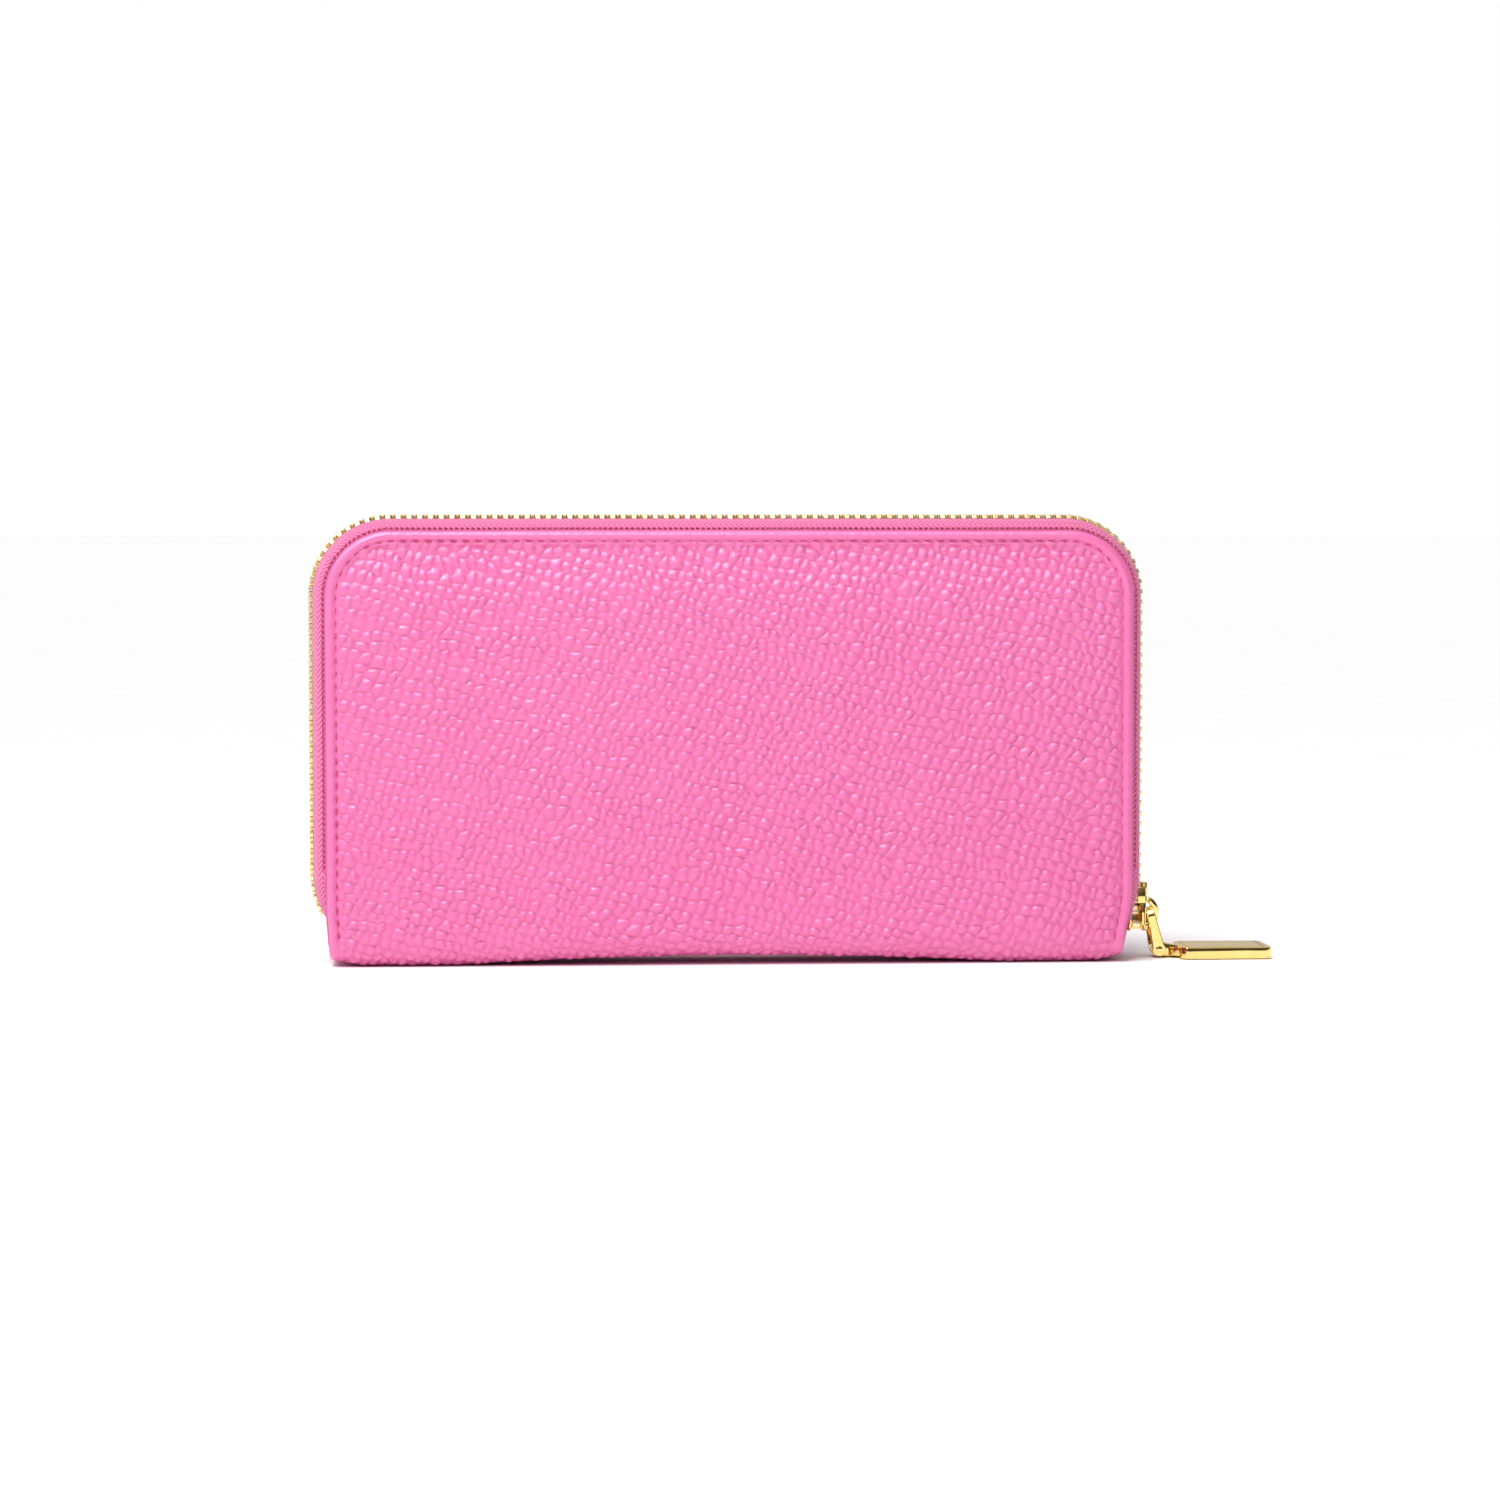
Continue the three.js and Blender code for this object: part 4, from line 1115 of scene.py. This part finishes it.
def card_slots(side, sign):
    """Four overlapping rows of card slots, each with a folded, stitched mouth and a middle seam."""
    parts = []
    for row in range(1, 5):
        low, high = cad_box(f"{side}_card_slot_{row}")
        inner = min(abs(low[1]), abs(high[1]))
        half, bottom, top = high[0], low[2], high[2]
        x = np.linspace(-half, half, 150)
        mouth = top - 2.2 * (1 - np.linspace(0, 1, 7)[1:])
        z = np.concatenate([np.linspace(bottom, top - 2.2, 34), mouth])
        xx, zz = np.meshgrid(x, z)
        bulge = 0.1 * np.sin(np.pi * np.abs(xx) / half) ** 0.5
        fold = 0.13 * smoothstep(top - 1.7, top - 1.2, zz)
        fold = fold - 0.12 * np.exp(-(((zz - top + 2.0) / 0.3) ** 2))
        seam = 0.14 * np.exp(-((xx / 0.6) ** 2))
        y = inner - bulge * 0.6 - fold + seam + 0.03 * soft_noise(xx, zz, 12, 60 + row)
        dip = 0.25 * np.cos(np.pi * xx / half) ** 2 * (zz > top - 2.3)
        name = f"{side}_card_slot_{row}"
        made = slab(name + "_look", np.stack([xx, sign * y, zz - dip], -1), -sign, 0.4)
        finish_piece(made, SLOT_LEATHER, f"{side}_cover", name, slot="leather")
        y = sign * (inner + 0.02)
        path = np.linspace((-half + 1.5, y, top - 2.25), (half - 1.5, y, top - 2.25), 200)
        parts.append(stitch_row(path, (0, -sign, 0), *SLOT_STITCH))
        below = top - 10 if row < 4 else bottom + 1
        for x in (0.0, half - 1.6, 1.6 - half):
            path = np.linspace((x, y, below + 0.6), (x, y, top - 3.0), 60)
            parts.append(stitch_row(path, (0, -sign, 0), *SLOT_STITCH))
    made = make_mesh(f"{side}_slot_stitches", *join_parts(parts))
    finish_piece(made, THREAD, f"{side}_cover", slot="leather")


def cover_board(side):
    """The hidden stiffening board keeps its CAD solid, which gets a real finish."""
    node = frame["nodes"][f"{side}_board"]
    node.data.materials.clear()
    node.data.materials.append(BOARD)


def spine_lining():
    """Lining along the inside of the spine."""
    low, high = cad_box("spine_lining")
    wide, deep = high[0], high[1]
    radius = 4.3
    foot = deep - radius
    section = [(deep, z) for z in np.linspace(high[2] + 1.6, low[2] + radius, 8)]
    section += [
        (foot + radius * math.cos(a), low[2] + radius - radius * math.sin(a))
        for a in np.linspace(0, math.pi / 2, 10)[1:]
    ]
    section += [(y, low[2]) for y in np.linspace(foot, 0, 10)[1:]]
    half = np.array(section)
    whole = np.concatenate([half, (half * [-1, 1])[::-1][1:]])
    x = np.linspace(-wide, wide, 100)
    points = np.zeros((len(whole), len(x), 3))
    points[..., 0] = x[None]
    points[..., 1] = whole[:, 0, None]
    points[..., 2] = whole[:, 1, None]
    points[..., 2] += foot_lift(points[..., 0], points[..., 2])
    normals = sheet_normals(points)
    verts, faces = thick_sheet(points, normals, 0.35)
    made = make_mesh("spine_lining_look", verts, faces[:, ::-1])
    finish_piece(made, LINING, None, "spine_lining", slot="lining")
    bend_between_covers(made)


def gusset(side, sign):
    """Pleated gusset between the covers at one end."""
    low, high = cad_box(f"{side}_gusset")
    inner, outer = sorted((abs(low[0]), abs(high[0])))
    inner, outer = inner + 1.4, outer - 0.4
    deep = high[1]
    s = np.linspace(-1, 1, 97)
    z = np.linspace(low[2] - 6, high[2], 50)
    ss, zz = np.meshgrid(s, z)
    fold = np.cos(3 * np.pi * (ss + 1))
    fold = np.sign(fold) * np.abs(fold) ** 0.75
    x = (inner + outer) / 2 - (outer - inner) / 2 * fold
    x = x - 0.15 * soft_noise(zz, ss * 20, 9, 71)
    y = ss * (deep + 0.45)
    top_dip = 1.2 * (1 - fold) / 2 * smoothstep(high[2] - 9, high[2], zz)
    points = np.stack([sign * x, y, zz - top_dip], -1)
    made = make_mesh(f"{side}_gusset_look", *thick_sheet(points, sheet_normals(points), 0.45))
    finish_piece(made, LINING, None, f"{side}_gusset", slot="lining")
    bend_between_covers(made)


def gusset_foot(side, sign):
    """The gusset's lower end, sewn down into the spine, which closes the wallet's bottom corner."""
    y = np.linspace(-11.3, 11.3, 60)
    bend = 4.5
    over = np.clip(np.abs(y) - FOOT_Y, 0, bend - 0.1)
    bottom = SPINE_R - np.sqrt(bend**2 - over**2) + 0.15
    t = np.linspace(0, 1, 24)
    yy, tt = np.meshgrid(y, t)
    zz = bottom[None] + (16 - bottom[None]) * tt
    x = 91.75 + 0.12 * soft_noise(yy, zz, 6, 75) - 0.25 * (1 - tt) ** 2
    points = np.stack([sign * x, yy, zz + foot_lift(x, zz)], -1)
    made = make_mesh(f"{side}_gusset_foot", *thick_sheet(points, sheet_normals(points), 0.35))
    finish_piece(made, LINING, None, slot="lining")
    bend_with_spine(made)


# ---- coin pocket ----
def coin_walls():
    for side, sign in (("back", 1), ("front", -1)):
        low, high = cad_box(f"coin_wall_{side}")
        outer = max(abs(low[1]), abs(high[1]))
        half, bottom, top = high[0], low[2], high[2]
        x = np.linspace(-half, half, 160)
        z = np.linspace(bottom, top, 70)
        xx, zz = np.meshgrid(x, z)
        d = np.minimum(half - np.abs(xx), np.minimum(zz - bottom, top - zz))
        y = outer - 0.14 * np.exp(-(((d - 2.0) / 0.5) ** 2)) + 0.12 * smoothstep(2, 14, d)
        y = y + 0.05 * soft_noise(xx, zz, 20, 80 + sign)
        made = slab(f"coin_wall_{side}_look", np.stack([xx, sign * y, zz], -1), sign, 0.6)
        finish_piece(made, SLOT_LEATHER, "coin_divider", f"coin_wall_{side}", slot="leather")
        y_line = sign * (outer - 0.02)
        left, right, low_z, high_z = -half + 2, half - 2, bottom + 2, top - 2
        corners = [
            (left, low_z), (left, high_z), (right, high_z), (right, low_z), (left, low_z)
        ]
        parts = []
        for a, b in zip(corners, corners[1:]):
            run = np.linspace((a[0], y_line, a[1]), (b[0], y_line, b[1]), 120)
            parts.append(stitch_row(run, (0, sign, 0), *COIN_STITCH))
        made = make_mesh(f"coin_wall_{side}_stitches", *join_parts(parts))
        finish_piece(made, THREAD, "coin_divider", slot="leather")


def coin_zip():
    for side, sign in (("back", 1), ("front", -1)):
        low, high = cad_box(f"coin_tape_{side}")
        middle = sign * (abs(low[1]) + abs(high[1])) / 2
        x = np.linspace(low[0] - 1.5, high[0] + 1.5, 190)
        z = np.linspace(low[2], high[2] + 0.25, 26)
        xx, zz = np.meshgrid(x, z)
        y = middle + sign * 0.25 + 0 * xx
        made = slab(f"coin_tape_{side}_look", np.stack([xx, y, zz], -1), sign, 0.5)
        flat = np.stack([xx, zz], -1).reshape(-1, 2)
        add_uv(made, np.concatenate([flat, flat]))
        finish_piece(made, TAPE, "coin_divider", f"coin_tape_{side}", slot="tape")
        low, high = cad_box(f"coin_coil_{side}")
        centre_y = sign * 1.02
        centre_z = (low[2] + high[2]) / 2
        turns = int((high[0] - low[0]) / COIL_PITCH)
        t = np.linspace(0, turns, turns * 14)
        a = 2 * np.pi * t
        path = np.stack([
            low[0] + t * COIL_PITCH + (0.3 if sign > 0 else -0.3),
            centre_y + sign * 0.5 * np.cos(a),
            centre_z + 0.48 * np.sin(a),
        ], -1)
        made = make_mesh(f"coin_coil_{side}_look", *tube_round(path, 0.2, 6))
        finish_piece(made, NYLON, "coin_divider", f"coin_coil_{side}", slot="nylon")


def coin_base_and_seams():
    for node in ("coin_base", "coin_seam_right", "coin_seam_left"):
        piece = frame["nodes"][node]
        piece.data.materials.clear()
        piece.data.materials.append(LINING)


def coin_slider():
    low, high = cad_box("coin_slider")
    cx = (low[0] + high[0]) / 2
    top = 89.0
    half = (high[0] - low[0]) / 2
    back, front = cx - half, cx + half
    cap = [
        (back, -1.9), (back + 0.8, -2.5), (front - 1.0, -2.5), (front, -1.7),
        (front, 1.7), (front - 1.0, 2.5), (back + 0.8, 2.5), (back, 1.9),
    ]
    parts = [beveled_prism("part", cap, top, top + 0.8, "z", 0.22)]
    for sign in (-1, 1):
        a, b = sorted((sign * 2.0, sign * 2.5))
        skirt = rectangle(back + 0.8, a, front - 1.0, b)
        parts.append(beveled_prism("part", skirt, top - 1.4, top + 0.3, "z", 0.1, 2))
    wedge = rectangle(front - 2.8, -0.35, front - 0.6, 0.35)
    parts.append(beveled_prism("part", wedge, low[2] + 0.4, top + 0.2, "z", 0.08, 1))
    sole = rectangle(back, -0.85, front, 0.85)
    parts.append(beveled_prism("part", sole, low[2], low[2] + 0.8, "z", 0.15, 2))

    def bridge(reach, rise):
        """An arch from end to end over the cap."""
        t = np.linspace(0, math.pi, 15)
        return [
            (cx + reach * math.cos(a), top + 0.6 + rise * math.sin(a) ** 0.55) for a in t
        ]

    peak = high[2] - top
    arch = bridge(2.6, peak - 0.6) + bridge(1.8, peak - 1.35)[::-1]
    parts.append(beveled_prism("part", arch, -0.6, 0.6, "y", 0.18, 2))
    made = merge_objects("coin_slider_look", parts)
    finish_piece(made, GOLD, "coin_zip_slider", "coin_slider", slot="gold_metal")


def coin_pull():
    x0, z0 = COIN_PULL_AT[0], COIN_PULL_AT[2]
    length = 9.5
    t = np.linspace(math.pi / 2, 1.5 * math.pi, 12)
    rails = [
        [(x0 + 0.4, s * 1.05), (x0 + 0.4, s * 1.8), (x0 - 3.4, s * 1.75), (x0 - 3.4, s * 1.05)][::s]
        for s in (-1, 1)
    ]
    bar = rectangle(x0 - 0.4, -1.8, x0 + 0.4, 1.8)
    tab = [(x0 - 3.1, -1.75), (x0 - 3.1, 1.75)]
    tab += [(x0 - length + 1.5 + 1.5 * math.cos(a), 1.5 * math.sin(a)) for a in t]
    parts = [
        beveled_prism("part", shape, z0 - 0.4, z0 + 0.4, "z", 0.14, 2)
        for shape in (*rails, bar, tab)
    ]
    made = merge_objects("coin_pull_look", parts)
    finish_piece(made, GOLD, "coin_zip_pull", "coin_pull", slot="gold_metal")


# ---- stage ----
def camera():
    azimuth, elevation, distance = math.radians(-3.98), math.radians(3.22), 1.015
    target = Vector((0.0053, 0, 0.0496))
    back = Vector((
        math.sin(azimuth) * math.cos(elevation),
        -math.cos(azimuth) * math.cos(elevation),
        math.sin(elevation),
    ))
    data = bpy.data.cameras.new("camera")
    data.lens = 103.4
    data.sensor_width = 36
    made = bpy.data.objects.new("camera", data)
    made.location = target + back * distance
    made.rotation_euler = (-back).to_track_quat("-Z", "Y").to_euler()
    data.clip_start, data.clip_end = 0.02, 30
    bpy.context.scene.collection.objects.link(made)
    bpy.context.scene.camera = made


def area_light(name, location, target, size, power):
    data = bpy.data.lights.new(name, "AREA")
    data.shape = "RECTANGLE"
    data.size, data.size_y = size
    data.energy = power
    made = bpy.data.objects.new(name, data)
    made.location = location
    aim = Vector(target) - Vector(location)
    made.rotation_euler = aim.to_track_quat("-Z", "Y").to_euler()
    bpy.context.scene.collection.objects.link(made)


def studio():
    """White surroundings that light less than they show, a soft high key and a soft box."""
    world = bpy.data.worlds.new("studio")
    world.use_nodes = True
    tree = world.node_tree
    backdrop = tree.nodes["Background"]
    backdrop.inputs[0].default_value = (1, 1, 1, 1)
    backdrop.inputs[1].default_value = 1.0
    around = tree.nodes.new("ShaderNodeBackground")
    direction = tree.nodes.new("ShaderNodeTexCoord")
    slope = tree.nodes.new("ShaderNodeVectorMath")
    slope.operation = "DOT_PRODUCT"
    slope.inputs[1].default_value = (-0.28, 0.48, 0.62)
    tree.links.new(direction.outputs["Generated"], slope.inputs[0])
    ramp = tree.nodes.new("ShaderNodeMapRange")
    for key, value in (("From Min", -0.5), ("From Max", 0.6), ("To Min", 0.05), ("To Max", 0.84)):
        ramp.inputs[key].default_value = value
    tree.links.new(slope.outputs["Value"], ramp.inputs[0])
    tree.links.new(ramp.outputs[0], around.inputs[1])
    path = tree.nodes.new("ShaderNodeLightPath")
    mix = tree.nodes.new("ShaderNodeMixShader")
    tree.links.new(path.outputs["Is Camera Ray"], mix.inputs[0])
    tree.links.new(around.outputs[0], mix.inputs[1])
    tree.links.new(backdrop.outputs[0], mix.inputs[2])
    tree.links.new(mix.outputs[0], tree.nodes["World Output"].inputs[0])
    bpy.context.scene.world = world
    sun = bpy.data.lights.new("high_key", "SUN")
    sun.energy = 1.65
    sun.angle = math.radians(30)
    key = bpy.data.objects.new("high_key", sun)
    key.rotation_euler = Vector((0.24, 0.36, -1.0)).to_track_quat("-Z", "Y").to_euler()
    bpy.context.scene.collection.objects.link(key)
    area_light("soft_box", (-0.16, -0.24, 0.36), (0, 0, 0.07), (0.7, 0.22), 1.35)
    bpy.ops.mesh.primitive_plane_add(size=30, location=(0, 0, 0))
    floor = bpy.context.object
    floor.name = "floor"
    floor.data.materials.append(floor_surface())
    bpy.context.scene.view_settings.view_transform = "Standard"


outer_skin()
for side, sign in (("back", 1), ("front", -1)):
    cover_stitches(side, sign)
    tape_stitches(side, sign)
    zip_tape(side, sign)
    zip_teeth(side, sign, 0.0 if sign > 0 else TOOTH_PITCH / 2)
    zip_stop(side, sign, False)
    zip_stop(side, sign, True)
    cover_lining(side, sign)
    card_slots(side, sign)
    cover_board(side)
spine_lining()
for side, sign in (("right", 1), ("left", -1)):
    gusset(side, sign)
    gusset_foot(side, sign)
slider_body()
slider_hook()
pull_link()
pull_pin()
pull_tag()
coin_walls()
coin_zip()
coin_base_and_seams()
coin_slider()
coin_pull()
camera()
studio()
